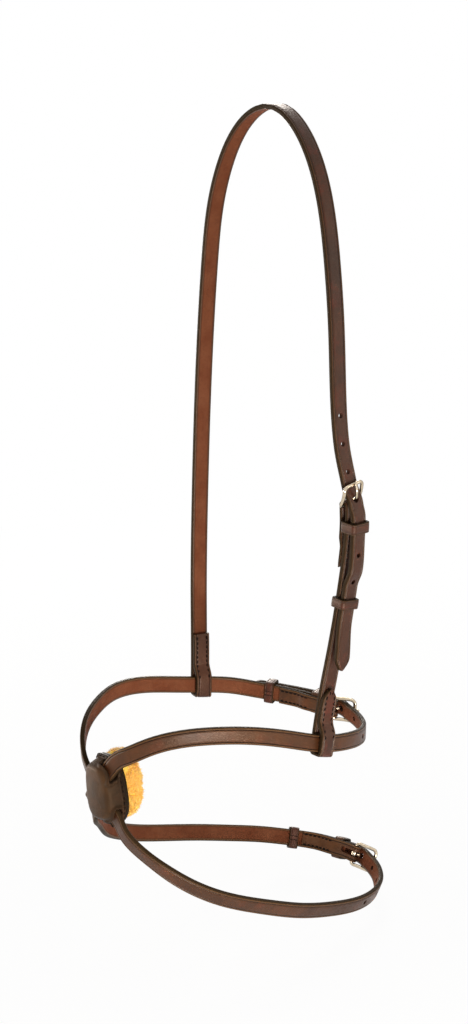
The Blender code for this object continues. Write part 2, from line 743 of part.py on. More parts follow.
def fleece_pad(name, sides=28):
    """Cushion of sheepskin: hollow front on the backing, flat back for the nose."""
    outline = oval_outline(FLEECE_HALF_W, FLEECE_HALF_H, sides, FLEECE_OVAL)

    def ring(grow, depth):
        # depth 0 lies on the backing, depth 1 in the flat back
        made = []
        for a, z in outline:
            front = patch_point(*leaned(a * grow, z * grow + FLEECE_LIFT), FLEECE_FRONT_R)
            x = front[0] + (FLEECE_BACK_X - front[0]) * depth
            made.append((x, front[1], front[2]))
        return made

    rings = [ring(0.5, 0), ring(0.93, 0), ring(1.0, 0.12), ring(1.07, 0.35),
             ring(FLEECE_SWELL, 0.6), ring(1.05, 0.83), ring(0.9, 1.0), ring(0.5, 1.0)]
    verts = [patch_point(*leaned(0, FLEECE_LIFT), FLEECE_FRONT_R)]
    for row in rings:
        verts += row
    verts.append((FLEECE_BACK_X, 0, PATCH_Z + PATCH_RISE + FLEECE_LIFT))
    last = len(verts) - 1
    faces = []
    for k in range(sides):
        m = (k + 1) % sides
        faces.append((0, 1 + k, 1 + m))
        for r in range(len(rings) - 1):
            a, b = 1 + r * sides, 1 + (r + 1) * sides
            faces.append((a + k, b + k, b + m, a + m))
        end = 1 + (len(rings) - 1) * sides
        faces.append((last, end + m, end + k))
    return mesh_object(name, verts, faces, FLEECE)


def bridge(first, first_s, middle, second, second_s):
    """Smooth route under the patch between two nose loops, through middle."""
    sign_a = 1 if first_s < first.length / 2 else -1
    sign_b = 1 if second_s < second.length / 2 else -1
    lead = [first.at(first_s + sign_a * d)[0] for d in (24, 18, 12, 6, 0)]
    tail = [second.at(second_s + sign_b * d)[0] for d in (0, 6, 12, 18, 24)]
    route = Line(lead + middle + tail, nose_side)
    return route, route.near(lead[2]), route.near(tail[2])


def main():
    global PIECES, CUTTERS, FRAME_MESH, TONGUE_MESH
    for obj in list(bpy.data.objects):
        bpy.data.objects.remove(obj)
    PIECES = collection("Figure eight noseband")
    CUTTERS = collection("Cutters")
    FRAME_MESH = buckle_frame_mesh()
    TONGUE_MESH = tongue_mesh()
    build()


def build():
    head = Line(HEAD_ROUTE, head_side, outward=-1.0)
    near_at, far_at = head.near(NEAR_LOOP), head.near(FAR_LOOP)
    through_near = head.at(near_at, NOSE_IN_LOOP)[0]
    through_far = head.at(far_at, -NOSE_IN_LOOP)[0]
    upper = Line(on_patch(RIM_NEAR_UPPER, RIDE_R) + UPPER_NEAR + [through_near]
                 + UPPER_BACK + [through_far] + UPPER_FAR
                 + on_patch(RIM_FAR_UPPER, RIDE_R), nose_side)
    lower = Line(on_patch(RIM_NEAR_LOWER, RIDE_R) + LOWER_ROUTE
                 + on_patch(RIM_FAR_LOWER, RIDE_R), nose_side)

    # Where the buckles, tips and loops lie along the lines
    head_heel = head.near(HEAD_HEEL)
    head_slide = head_heel - HEAD_SLIDER
    head_tip = head_heel - HEAD_BILLET
    jaw_heel = upper.near(JAW_HEEL)
    jaw_slide = jaw_heel + JAW_SLIDER
    jaw_tip = jaw_heel + JAW_BILLET
    chin_heel = lower.near(CHIN_HEEL)
    chin_slide = chin_heel + CHIN_SLIDER
    chin_tip = chin_heel + CHIN_BILLET
    edge = STRAP_W / 2 + LOOP_SLACK + LOOP_T / 2 - LOOP_CORNER
    near_fold = near_at - edge
    far_fold = far_at + edge

    head_set = buckle_set("head", head, head_heel, 1, head_slide)
    jaw_set = buckle_set("jaw", upper, jaw_heel, -1, jaw_slide)
    chin_set = buckle_set("chin", lower, chin_heel, -1, chin_slide)

    # Headpiece: billet tip, up through the buckle, over the poll, far loop, lap
    strap = Ribbon()
    through = billet_height(head_heel, 1, head_slide, head_tip, 5.5, 3.2)
    strap.run(head, head_tip, head_heel + 50, through, step=5.5,
              width=tip_width(head_tip, -1))
    apex = head.near((0, 0, HALF_T))
    strap.run(head, head_heel + 56, apex - POLL_FLAT / 2 - 8, step=10.0)
    for y in (-POLL_FLAT / 2, POLL_FLAT / 2):
        strap.add([(0, y, HALF_T)], [(1, 0, 0)], STRAP_W, STRAP_T)
    strap.run(head, apex + POLL_FLAT / 2 + 8, far_fold - LAP_CLEAR - 6, step=10.0)
    lap_far(strap, head, far_fold, -upper.run_at(through_far))
    crown = ribbon_object("crown_strap", strap, LEATHER)
    rise = height_at(through)
    tongue_at = head_heel + TONGUE_HOLE
    places = [tongue_at + k * HOLE_PITCH for k in (-3, -2, 1, 2, 3)]
    cuts = hole_cutters("crown hole", head, places, rise)
    cuts += hole_cutters("crown tongue hole", head, [tongue_at], rise, TONGUE_HOLE_D / 2)
    cut(crown, cuts)

    # Near cheek piece: chape on the head buckle, down to the loop, pointed lap
    strap = Ribbon()
    full = chape(strap, head, head_heel, 1)
    strap.run(head, full - 5, near_fold + LAP_CLEAR + 4, step=9.0)
    skive = [near_fold, near_fold + LOOP_SKIVE], [LOOP_T, STRAP_T]
    strap.run(head, near_fold + LAP_CLEAR, near_fold, thick=skive, step=3.5)
    strap.wrap(head, near_fold, 0.0, LAP_N, -1, upper.run_at(through_near))
    lap = sorted_knots([near_fold, near_fold + LAP_CLEAR, near_fold + LAP_DOWN],
                       [LAP_N, LAP_N, STACK])
    strap.run(head, near_fold, near_fold + LAP_LENGTH, lap, skive, step=3.5,
              width=tip_width(near_fold + LAP_LENGTH, 1))
    cheek = ribbon_object("near_cheek_strap", strap, LEATHER)
    cut(cheek, [slot_cutter("head slot", head_set)])

    # Strap A: chin chape, far lower side, under the patch, near upper side, billet
    a_line, a_from, a_to = bridge(lower, lower.length, on_patch(CROSS_OVER, OVER_R),
                                  upper, 0.0)
    b_line, b_from, b_to = bridge(upper, upper.length, on_patch(CROSS_UNDER, UNDER_R),
                                  lower, 0.0)

    strap = Ribbon()
    full = chape(strap, lower, chin_heel, -1)
    strap.run(lower, full + 5, lower.length - 17, step=8.0)
    strap.run(a_line, a_from, a_to, step=5.0)
    through = billet_height(jaw_heel, -1, jaw_slide, jaw_tip, 1.5, 0.6)
    strap.run(upper, 17, jaw_heel - 52, step=8.0)
    strap.run(upper, jaw_heel - 46, jaw_tip, through, step=5.5,
              width=tip_width(jaw_tip, 1))
    strap_a = ribbon_object("near_upper_far_lower_strap", strap, LEATHER)
    tongue_at = jaw_heel - TONGUE_HOLE
    places = [tongue_at + k * HOLE_PITCH for k in (-3, -2, -1, 1, 2)]
    cuts = hole_cutters("jaw hole", upper, places, height_at(through))
    cuts += hole_cutters("jaw tongue hole", upper, [tongue_at], height_at(through),
                         TONGUE_HOLE_D / 2)
    cuts.append(slot_cutter("chin slot", chin_set))
    cut(strap_a, cuts)

    # Strap B: jaw chape, far upper side, under the patch, near lower side, billet
    strap = Ribbon()
    full = chape(strap, upper, jaw_heel, -1)
    strap.run(upper, full + 5, upper.length - 17, step=8.0)
    strap.run(b_line, b_from, b_to, step=5.0)
    through = billet_height(chin_heel, -1, chin_slide, chin_tip, 1.5, 0.6)
    strap.run(lower, 17, chin_heel - 52, step=8.0)
    strap.run(lower, chin_heel - 46, chin_tip, through, step=5.5,
              width=tip_width(chin_tip, 1))
    strap_b = ribbon_object("far_upper_near_lower_strap", strap, LEATHER)
    tongue_at = chin_heel - TONGUE_HOLE
    places = [tongue_at + k * HOLE_PITCH for k in (-4, -3, -2, -1, 1, 2)]
    cuts = hole_cutters("chin hole", lower, places, height_at(through))
    cuts += hole_cutters("chin tongue hole", lower, [tongue_at], height_at(through),
                         TONGUE_HOLE_D / 2)
    cuts.append(slot_cutter("jaw slot", jaw_set))
    cut(strap_b, cuts)

    # Nose patch: domed cover slit for the four strap ends, backing and fleece
    cover = patch_cover("patch_cover")
    slits = []
    for label, line in (("a", a_line), ("b", b_line)):
        loose = Ribbon()
        loose.run(line, 0, line.length, step=2.5,
                  width=lambda s: STRAP_W + 2 * SLIT_SIDE,
                  thick=([0, 1], [STRAP_T + 2 * STRAP_PLAY] * 2))
        slits.append(hide(ribbon_object(f"slit {label}", loose, None)))
    cut(cover, slits)
    patch_backing("patch_backing")
    fleece_pad("fleece_pad")


main()
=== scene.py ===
# Looks for the figure eight noseband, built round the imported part.
# Lengths are in millimetres and are scaled to metres when a mesh is made.
# Sizes and routes follow the part's source.

import math

import bmesh
import bpy
import numpy as np
from mathutils import Matrix, Vector
from mathutils.bvhtree import BVHTree
from mathutils.kdtree import KDTree


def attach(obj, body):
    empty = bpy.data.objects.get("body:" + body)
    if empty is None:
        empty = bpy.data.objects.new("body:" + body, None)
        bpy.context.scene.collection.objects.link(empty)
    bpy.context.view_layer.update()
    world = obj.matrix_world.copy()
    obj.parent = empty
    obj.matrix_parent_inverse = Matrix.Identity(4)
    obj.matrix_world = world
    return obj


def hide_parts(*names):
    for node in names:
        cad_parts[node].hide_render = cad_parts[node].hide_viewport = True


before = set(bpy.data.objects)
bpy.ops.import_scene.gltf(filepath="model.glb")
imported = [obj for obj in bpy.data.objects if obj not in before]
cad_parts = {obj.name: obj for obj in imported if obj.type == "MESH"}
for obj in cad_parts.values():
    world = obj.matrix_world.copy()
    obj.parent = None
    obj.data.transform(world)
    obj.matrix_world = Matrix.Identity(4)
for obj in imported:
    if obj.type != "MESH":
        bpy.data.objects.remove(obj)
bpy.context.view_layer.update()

MM = 0.001
GAP = 0.3

# Strap leather
STRAP_W = 14.2
STRAP_T = 4.2
HALF_T = STRAP_T / 2
STACK = STRAP_T + GAP
SKIVED_T = 2.4
TIP_LENGTH = 11.0
TIP_SHARE = 0.16
POLL_FLAT = 12.0

# Billet holes, and the dents that the punch leaves round them
HOLE_D = 4.0
HOLE_PITCH = 22.2
TONGUE_HOLE = 4.9
TONGUE_HOLE_D = 5.6
BORE_DEPTH = 14.0
BORE_SIDES = 28
DENT_DEPTH = 0.28
DENT_WIDTH = 0.9
DENT_REACH = 6
SHARP_ANGLE = math.radians(48)

# Steps of lines and straps, and how far from a place two runs of a strap join
LINE_STEP = 0.5
ROW_STEP = 1.7
ROW_GAP = 0.28
JOIN = 2
BILLET_END = 50
LOOP_JOIN = 16
POLL_JOIN = 8
BRIDGE_JOIN = 14
BRIDGE_LEAD = (24, 18, 12, 6, 0)

# Creases along a strap's edges: inset, drop and shade
CREASES = [(1.40, -0.02, 0.0), (1.70, 0.18, 0.7), (2.05, 0.52, 1.0), (2.40, 0.18, 0.7),
           (2.72, -0.03, 0.0)]
CROWN = 0.10

# Buckles
WIRE_D = 3.0
WIRE_R = WIRE_D / 2
WIRE_FLAT = 0.96
WIRE_SIDES, TONGUE_SIDES = 18, 14
WIRE_STEPS = 72
BUCKLE_LENGTH = 17.0
BUCKLE_SIDE = 0.8
TOE_CORNER_R = 3.4
HEEL_CORNER_R = BUCKLE_SIDE + WIRE_R - GAP
FRAME_BOW = 0.16
RING_WALL = 1.1
RING_W = 3.4
RING_OVAL = 2 / 0.55
TONGUE_D = 2.2
TONGUE_OVER = 2.6
SLOT_W = RING_W + 1.2
SLOT_LENGTH = 11.0
SLOT_FRONT = 8
SLOT_DEPTH = 12.0

# Keepers
KEEPER_T = 1.7
KEEPER_W = 9.0
KEEPER_PLAY = 0.5
KEEPER_CORNER = 1.2
KEEPER_STEP = 1.4

# Half of a keeper's section: inset from its edge, height, edge and crease shades
KEEPER_EDGE = [
    (0.15, 0.02, 1, 0), (0, 0.35, 1, 0), (0, 1.1, 1, 0), (0.25, 1.5, 0.8, 0),
    (0.7, KEEPER_T, 0.3, 0), (1.2, KEEPER_T, 0, 0.2), (1.45, KEEPER_T - 0.22, 0, 1),
    (1.7, KEEPER_T, 0, 0.2),
]

# Places along the straps, from each buckle's heel bar
KEEPER_AT = 18.0
SLIDER_CALM = 14.0
BAR_CALM = 10
HEAD_SLIDER, JAW_SLIDER, CHIN_SLIDER = 80.0, 62.0, 60.0
HEAD_BILLET, JAW_BILLET, CHIN_BILLET = 133.0, 82.0, 80.0
CHAPE_RETURN = 52.0
CHAPE_KEPT = (27.0, 8.0)
CHAPE_EASE = 9.0
CHAPE_SKIVE = 24.0
FEATHER = 4
FEATHER_T = 1.0

# Heights of the layers over the middle of the carrying strap
BAR_N = HALF_T - SKIVED_T - GAP - WIRE_R
CHAPE_N = HALF_T - SKIVED_T / 2
FOLDED_N = 2 * BAR_N - CHAPE_N
RETURN_KEPT_N = -(HALF_T + GAP + KEEPER_T + GAP + SKIVED_T / 2)
RETURN_N = -(HALF_T + GAP + SKIVED_T / 2)
TOE_BILLET_N = 1.3
HEEL_BILLET_N = STACK + 0.7
KEPT_BILLET_N = STACK + 2.4
SLIDER_BILLET_N = STACK + 1.0
TOE_N = TOE_BILLET_N + HALF_T + GAP + WIRE_R

# How far a billet's tip curls up and its middle bows out
HEAD_CURL, HEAD_BOW = 5.5, 3.2
NOSE_CURL, NOSE_BOW = 1.5, 0.6

# Loops of the headpiece round the nose straps
LOOP_PLAY = 0.8
LOOP_SLACK = 0.6
LOOP_T = 2.6
LOOP_CORNER = 1.9
LOOP_SKIVE = 5.0
LAP_N = 2 * STRAP_T + 2 * LOOP_PLAY
NOSE_IN_LOOP = LAP_N / 2
LAP_LENGTH = 52.0
LAP_CLEAR = 14.0
LAP_DOWN = 26.0
LAP_FEATHER = 6
LAP_END_T = 2.2

# Stitching
STITCH_SIDES = 6
STITCH_LENGTH = 2.9
STITCH_R = 0.52
STITCH_PITCH = 3.9
STITCH_SHAPE = [(-0.5, -0.7, 0.35), (-0.42, -0.25, 0.85), (-0.2, 0.05, 1.0),
                (0.2, 0.05, 1.0), (0.42, -0.25, 0.85), (0.5, -0.7, 0.35)]
SEAM_HALF = STRAP_W / 2 - 2.9
RIM_SEAM_INSET = 1.5
RIM_SEAM_CLEAR = 1.6
KEEPER_SEAM = 1.7
KEEPER_STITCH = (2.0, 0.34)
CHAPE_SEAM = (25.5, CHAPE_RETURN - 3)
NEAR_SEAM_END, FAR_SEAM_END = 3.0, 3.5

# Nose patch: leather wrapped on an upright cylinder, in layers out from the head
PATCH_AXIS_X = -129.4
PATCH_Z = -520.0
BACKING_R = 32.0
BACKING_T = 3.0
SHEET_T = 2.4
RIM_R = BACKING_R + BACKING_T + GAP
STRAP_PLAY = 0.35
FLAT_RISE = (STRAP_W / 2) ** 2 / (2 * RIM_R)
UNDER_PLAY = 0.15
UNDER_R = RIM_R + HALF_T + UNDER_PLAY
OVER_R = UNDER_R + STACK + FLAT_RISE
RIDE_R = RIM_R + SHEET_T + STRAP_PLAY + 0.15 + HALF_T
DOME_R = OVER_R + HALF_T + FLAT_RISE + STRAP_PLAY + 0.1
PATCH_HALF_W = 19.3
PATCH_HALF_H = 28.5
PATCH_MIDDLE = PATCH_HALF_W - 0.6
PATCH_RISE = 2.5
PATCH_LEAN = math.radians(9)
DOME_INSET = 8.0
WALL_INSET = 3.0
WALL_RUN = DOME_INSET - WALL_INSET
WALL_RISE = DOME_R - RIM_R
WALL_SHIFT = SHEET_T * (math.hypot(WALL_RUN, WALL_RISE) - WALL_RUN) / WALL_RISE
# Share of the dark edge tone painted on the cover's wall as shade
WALL_SHADE = 0.38
OVAL = 2.9
COVER_SIDES, BACKING_SIDES, RIM_STEPS = 200, 140, 240

# Slits of the patch's cover, and the lips that the leather makes round them
SLIT_SIDE = 0.6
SLIT_CORNER = 1.1
COVER_KEPT = 0.6
LIP_RISE, LIP_AWAY, LIP_WIDTH = 2.1, 1.4, 1.2
LIP_SHADE = 0.9
LIP_EDGE = 0.5
LIP_START = 0.1

# Fleece pad, and its pile: tufts that lean towards the middle of their clump
FLEECE_FRONT_R = BACKING_R - GAP
FLEECE_BACK_X = -143.0
FLEECE_HALF_W = 22.0
FLEECE_HALF_H = 26.5
FLEECE_LIFT = 1.0
FLEECE_SWELL = 1.10
FLEECE_ROWS, FLEECE_SIDES = 34, 96
FLEECE_SEED = 11
FLEECE_SHADE = 0.35
PILE_DEEP = 2.2
PILE_LIFT = 1.4
PILE_OVAL = 2.3
CLUMPS = 420
CLUMP_BOX = ([-170, -32, -556], [-136, 32, -478])
LUMP_WIDTH = 3.0
LUMP_LOW, LUMP_RISE = -1.3, 2.0
LUMPS_FROM_X, LUMPS_EASE = -162, 6
COVERED_X = -155
TUFTS = 6500
TUFT_R = 0.38
TUFT_STEPS = 4
TUFT_ROOT = 0.4
TUFT_TAPER = 0.70
TUFT_TWIST = 0.9

# Growth of the pad's outline and its share of the depth, from front to back
FLEECE_ROUTE = [(0.0, 0.0), (0.93, 0.0), (1.0, 0.12), (1.07, 0.35), (FLEECE_SWELL, 0.6),
                (1.05, 0.83), (0.9, 1.0), (0.5, 1.05), (0.0, 1.06)]

# Where the straps run over the rim of the patch: arc and height from its middle
RIM_NEAR_UPPER = [(-9, 24), (-14, 30.5)]
RIM_NEAR_LOWER = [(-10.8, -14), (-14.9, -20)]
RIM_FAR_UPPER = [(15.8, 6)]
RIM_FAR_LOWER = [(15.5, -21.5), (11, -14.5)]
CROSS_OVER = [(6, -7), (1, 2), (-3, 11)]
CROSS_UNDER = [(8.8, 0.8), (1.5, -4.6), (-4.8, -9.3)]

# Centre line of the headpiece, from the near loop over the poll to the far loop
HEAD_ROUTE = [
    (-19.5, -79, -512), (-13, -79.5, -470), (-3, -81, -420), (6, -83.5, -362),
    (9, -85.5, -330), (9, -86.5, -302), (4, -86, -275), (-0.5, -84, -245),
    (-1.5, -81, -208), (-0.5, -77, -160),
    (0, -71, -112), (0, -63.5, -72), (-0.5, -54, -43), (-1, -42, -22),
    (-0.5, -25, -6.1), (0, -8, 1.5), (-0.5, 8, 1.5), (-2, 25, -6.4),
    (-4, 42, -24), (-6, 54, -47), (-8, 63.5, -79), (-8, 71, -122),
    (-8, 77, -180), (-8, 81.5, -240), (-8, 86, -330), (-8, 88, -410),
    (-8, 88, -470), (-9, 88, -512),
]
NEAR_TWIST_HEIGHTS = [-490, -440, -390, -320, -200]
NEAR_TWIST = [0.04, -0.08, 0.06, 0.10, -0.06]
FAR_TWIST = 0.22
TILT_HEIGHTS = [-650, -610, -570, -545, -536]
NEAR_TILT = [0.38, 0.50, 0.76, 0.80, 0.50]
FAR_TILT = [0.42, 0.42, 0.22, 0.0, 0.0]
TILT_TOP = -529
TILT_FADE = 10.0
SIDE_FADE = 40.0
HEAD_FADE = 80

# Oval of the head where the nose straps lie
NOSE_MIDDLE_X = -45.0
NOSE_HALF_LENGTH = 125.0
NOSE_HALF_WIDTH = 78.0

# Centre line of the upper nose loop, from the patch round the near side. It
# passes through the two loops of the headpiece, between these three runs.
UPPER_NEAR = [
    (-163, -26, -482.5),
    (-153, -40, -473.5), (-138, -54, -467), (-114, -67, -465.5),
    (-80, -78, -470), (-48, -83, -479),
]
UPPER_BACK = [
    (16, -80, -495.5), (37, -70, -499), (52, -55, -500.5), (60, -36, -500),
    (62, -18, -498.5), (58, 2, -497.5), (51, 21, -496.5), (42, 40, -495.5),
    (30, 58, -494), (14, 73, -491),
]
UPPER_FAR = [
    (-40, 86, -482), (-75, 82, -474), (-106, 74, -471), (-130, 62, -473.5),
    (-149, 50, -480), (-161, 38.7, -490), (-165.8, 29.7, -500.5), (-166, 23.9, -508),
]
NEAR_LOOP = (-16.5, -79.5, -489)
FAR_LOOP = (-8, 88, -488)
HEAD_HEEL = (4, -86, -297)
JAW_HEEL = (61, -9, -498.5)
CHIN_HEEL = (97.5, 4, -644)

# Centre line of the lower nose loop, from the patch round the near side
LOWER_ROUTE = [
    (-165.3, -21.4, -547), (-156.9, -31.7, -562),
    (-146.3, -43.3, -574), (-129.5, -54.6, -588.5), (-101, -65, -605.5),
    (-62, -71, -621.5), (-27, -72.5, -634),
    (8, -71, -643), (42, -66, -649), (67, -56, -650.5), (82, -44, -650),
    (92.5, -28, -648.5), (97.5, -10, -646), (97.5, 7, -644), (93, 24, -643.5),
    (84, 40, -641.5), (69, 55, -639), (44, 66, -633), (12, 71, -625),
    (-22, 72.5, -616), (-60, 71, -606), (-93, 66, -595.5),
    (-117, 57.5, -584.5), (-136, 46, -572), (-152, 32, -556),
]

# Camera of the photograph
CAMERA_TURN = -38.0
CAMERA_RISE = 15.2
CAMERA_FAR = 1700.0
CAMERA_TARGET = (-118.0, -101.0, -279.0)
CAMERA_LENS = 81.3
FLOOR_Z = -0.668
FLOOR_HALF = 9.0
FLOOR_GLOW = 0.93


# Routes

def unit(v):
    v = np.asarray(v, float)
    return v / np.linalg.norm(v, axis=-1, keepdims=True)


def run_along(path):
    """Distance along a path at each of its points."""
    return np.concatenate([[0], np.cumsum(np.linalg.norm(np.diff(path, axis=0), axis=1))])


def even_points(path, step=None, count=None):
    """Points at even distances on a path; with a count its last point is left out."""
    run = run_along(path)
    if step:
        even = np.linspace(0, run[-1], int(run[-1] / step) + 1)
    else:
        even = np.linspace(0, run[-1], count, endpoint=False)
    return np.stack([np.interp(even, run, values) for values in path.T], 1)


def natural_spline(points, step):
    """Smooth curve through points, in even steps."""
    pts = np.asarray(points, float)
    chord = np.linalg.norm(np.diff(pts, axis=0), axis=1)
    t = run_along(pts)
    count = len(t)
    system = np.eye(count)
    rhs = np.zeros((count, 3))
    for i in range(1, count - 1):
        before, after = chord[i - 1], chord[i]
        system[i, i - 1:i + 2] = before, 2 * (before + after), after
        rhs[i] = 6 * ((pts[i + 1] - pts[i]) / after - (pts[i] - pts[i - 1]) / before)
    bend = np.linalg.solve(system, rhs)
    fine = np.linspace(0, t[-1], int(t[-1] * 4))
    k = np.clip(np.searchsorted(t, fine, side="right") - 1, 0, count - 2)
    a = ((t[k + 1] - fine) / chord[k])[:, None]
    b = 1 - a
    curve = a * pts[k] + b * pts[k + 1]
    curve += ((a ** 3 - a) * bend[k] + (b ** 3 - b) * bend[k + 1]) * chord[k][:, None] ** 2 / 6
    return even_points(curve, step)


def head_side(points, tangents):
    """Width direction of the headpiece."""
    near, far = (np.clip(sign * points[:, 1] / HEAD_FADE, 0, 1) for sign in (-1, 1))
    lean = near * np.interp(points[:, 2], NEAR_TWIST_HEIGHTS, NEAR_TWIST)
    lean -= far * FAR_TWIST
    side = np.stack([np.ones(len(points)), lean, np.zeros(len(points))], 1)
    return unit(side - np.sum(side * tangents, 1)[:, None] * tangents)


def nose_side(points, tangents):
    """Width direction of a nose strap lying flat against the head."""
    out = unit(np.stack([(points[:, 0] - NOSE_MIDDLE_X) / NOSE_HALF_LENGTH ** 2,
                         points[:, 1] / NOSE_HALF_WIDTH ** 2,
                         np.zeros(len(points))], 1))
    near = np.interp(points[:, 2], TILT_HEIGHTS, NEAR_TILT)
    far = np.interp(points[:, 2], TILT_HEIGHTS, FAR_TILT)
    share = np.clip(0.5 + points[:, 1] / SIDE_FADE, 0, 1)
    low = np.clip((TILT_TOP - points[:, 2]) / TILT_FADE, 0, 1)
    out[:, 2] = -low * (near + share * (far - near))
    return unit(np.cross(out, tangents))


def axes_matrix(x, y, z, place):
    """Matrix of three axes at a place in millimetres."""
    rows = [(x[i], y[i], z[i], place[i] * MM) for i in range(3)]
    return Matrix(rows + [(0, 0, 0, 1)])


class Line:
    """Centre line with its tangent t, width direction w and outward normal n."""

    def __init__(self, points, side, outward=1.0):
        self.p = natural_spline(points, LINE_STEP)
        self.t = unit(np.gradient(self.p, axis=0))
        self.w = side(self.p, self.t)
        self.n = outward * unit(np.cross(self.t, self.w))
        self.s = run_along(self.p)
        self.length = self.s[-1]

    def sample(self, values, s):
        s = np.atleast_1d(np.asarray(s, float))
        return np.stack([np.interp(s, self.s, values[:, i]) for i in range(3)], 1)

    def at(self, s, n=0.0, w=0.0):
        s = np.atleast_1d(np.asarray(s, float))
        n = np.broadcast_to(n, s.shape)[:, None]
        w = np.broadcast_to(w, s.shape)[:, None]
        return (self.sample(self.p, s) + n * self.sample(self.n, s)
                + w * self.sample(self.w, s))

    def side(self, s):
        return unit(self.sample(self.w, s))

    def near(self, point):
        gap = np.linalg.norm(self.p - np.asarray(point, float), axis=1)
        return float(self.s[int(np.argmin(gap))])

    def run_at(self, point):
        return unit(self.sample(self.t, self.near(point)))[0]

    def frame(self, s, flip=1.0):
        x = flip * unit(self.sample(self.t, s))[0]
        z = unit(self.sample(self.n, s))[0]
        z = unit(z - np.dot(z, x) * x)
        return axes_matrix(x, np.cross(z, x), z, self.at(s)[0])


def ease(x, knots, values):
    """Values at knots, with a smooth step from each to the next."""
    x, knots, values = (np.asarray(v, float) for v in (x, knots, values))
    k = np.clip(np.searchsorted(knots, x, side="right") - 1, 0, len(knots) - 2)
    f = np.clip((x - knots[k]) / (knots[k + 1] - knots[k]), 0, 1)
    f = f * f * (3 - 2 * f)
    return values[k] + (values[k + 1] - values[k]) * f


def sorted_knots(spots, values):
    order = np.argsort(spots)
    return [spots[i] for i in order], [values[i] for i in order]


def height_at(knots):
    return lambda s: float(ease([s], *knots)[0])


class Ribbon:
    """Rows of a strap: place, width direction, width and thickness."""

    def __init__(self):
        self.rows = []

    def add(self, points, sides, width, thick):
        width = np.broadcast_to(width, len(points))
        thick = np.broadcast_to(thick, len(points))
        for p, d, w, t in zip(points, sides, width, thick):
            self.rows.append((np.array(p), np.array(d), float(w), float(t)))

    def run(self, line, start, end, height=None, thick=None, width=None):
        count = max(2, int(abs(end - start) / ROW_STEP) + 1)
        s = np.linspace(start, end, count)
        n = np.zeros(count) if height is None else ease(s, *height)
        t = STRAP_T if thick is None else ease(s, *thick)
        w = STRAP_W if width is None else width(s)
        self.add(line.at(s, n), line.side(s), w, t)

    def wrap(self, line, s, n_from, n_to, toward, across):
        """Square turn from one height to another, round a strap that lies across."""
        step = math.copysign(1, n_to - n_from)
        angle = np.linspace(0, math.pi / 2, 8)[1:]
        depth = LOOP_CORNER * np.sin(angle)
        inset = LOOP_CORNER * (1 - np.cos(angle))
        n = np.concatenate([n_from + step * inset, (n_to - step * inset)[::-1]])
        along = s + toward * np.concatenate([depth, depth[::-1]])
        self.add(line.at(along, n), [across] * len(n), STRAP_W, LOOP_T)

    def fold(self, line, s, n_from, n_to, toward):
        """Half turn of skived leather round a bar."""
        middle = (n_from + n_to) / 2
        radius = (n_from - n_to) / 2
        angle = np.linspace(0, math.pi, 20)[1:-1]
        along = s + toward * abs(radius) * np.sin(angle)
        n = middle + radius * np.cos(angle)
        self.add(line.at(along, n), line.side(along), STRAP_W, SKIVED_T)


def tip_width(end, toward):
    """Width of a strap that narrows to a rounded tip at its end."""
    def width(s):
        left = np.clip((end - s) * toward / TIP_LENGTH, 0, 1)
        return STRAP_W * (TIP_SHARE + (1 - TIP_SHARE) * np.sin(left * math.pi / 2) ** 0.9)
    return width


class Buckle:
    """Places of a buckle on its line; its toe points along the line (1) or back (-1)."""

    def __init__(self, name, body, line, heel_at, toe, slider, billet):
        self.name, self.body, self.line, self.toe = name, body, line, toe
        self.heel = line.near(heel_at)
        self.slide = self.back(slider)
        self.tip = self.back(billet)

    def back(self, distance):
        """Place on the line at a distance behind the heel bar."""
        return self.heel - self.toe * distance

    def bar(self):
        """Matrix of the heel bar, with x to the toe and z outward."""
        return self.line.frame(self.heel, self.toe) @ Matrix.Translation((0, 0, BAR_N * MM))

    def return_levels(self):
        """Height of the chape's return, from its end to the fold."""
        kept, close = CHAPE_KEPT
        spots = [self.back(d) for d in (CHAPE_RETURN, kept + CHAPE_EASE, kept, close, 0)]
        return sorted_knots(spots, [RETURN_N, RETURN_N, RETURN_KEPT_N, RETURN_KEPT_N, FOLDED_N])

    def billet_levels(self, curl, bow):
        """Height of the billet, from its tip through the keepers and over the frame's toe."""
        kept = self.back(KEEPER_AT + KEEPER_W / 2)
        calm = self.slide + self.toe * SLIDER_CALM
        spots = [self.tip, self.slide - self.toe * SLIDER_CALM, calm, (calm * 2 + kept) / 3, kept,
                 self.back(BAR_CALM), self.heel, self.back(-BUCKLE_LENGTH),
                 self.back(JOIN - BILLET_END)]
        return sorted_knots(spots, [SLIDER_BILLET_N + curl, SLIDER_BILLET_N, SLIDER_BILLET_N,
                                    SLIDER_BILLET_N + bow, KEPT_BILLET_N, KEPT_BILLET_N,
                                    HEEL_BILLET_N, TOE_BILLET_N, 0.0])

    def chape(self, ribbon):
        """Skived end folded round the heel bar; gives the place of full thickness."""
        end, full = self.back(CHAPE_RETURN), self.back(CHAPE_SKIVE)
        ribbon.run(self.line, end, self.heel, self.return_levels(),
                   sorted_knots([end, end + self.toe * FEATHER, self.heel],
                                [FEATHER_T, SKIVED_T, SKIVED_T]))
        ribbon.fold(self.line, self.heel, FOLDED_N, CHAPE_N, self.toe)
        ribbon.run(self.line, self.heel, full, sorted_knots([self.heel, full], [CHAPE_N, 0]),
                   sorted_knots([self.heel, full], [SKIVED_T, STRAP_T]))
        return full

    def holes(self, levels, places):
        """Bore axes and radii of the billet's holes, the tongue's own hole last."""
        height = height_at(levels)
        made = []
        for k in (*places, 0):
            s = self.back(-TONGUE_HOLE) + k * HOLE_PITCH
            matrix = self.line.frame(s) @ Matrix.Translation((0, 0, height(s) * MM))
            made.append((matrix, (HOLE_D if k else TONGUE_HOLE_D) / 2))
        return made


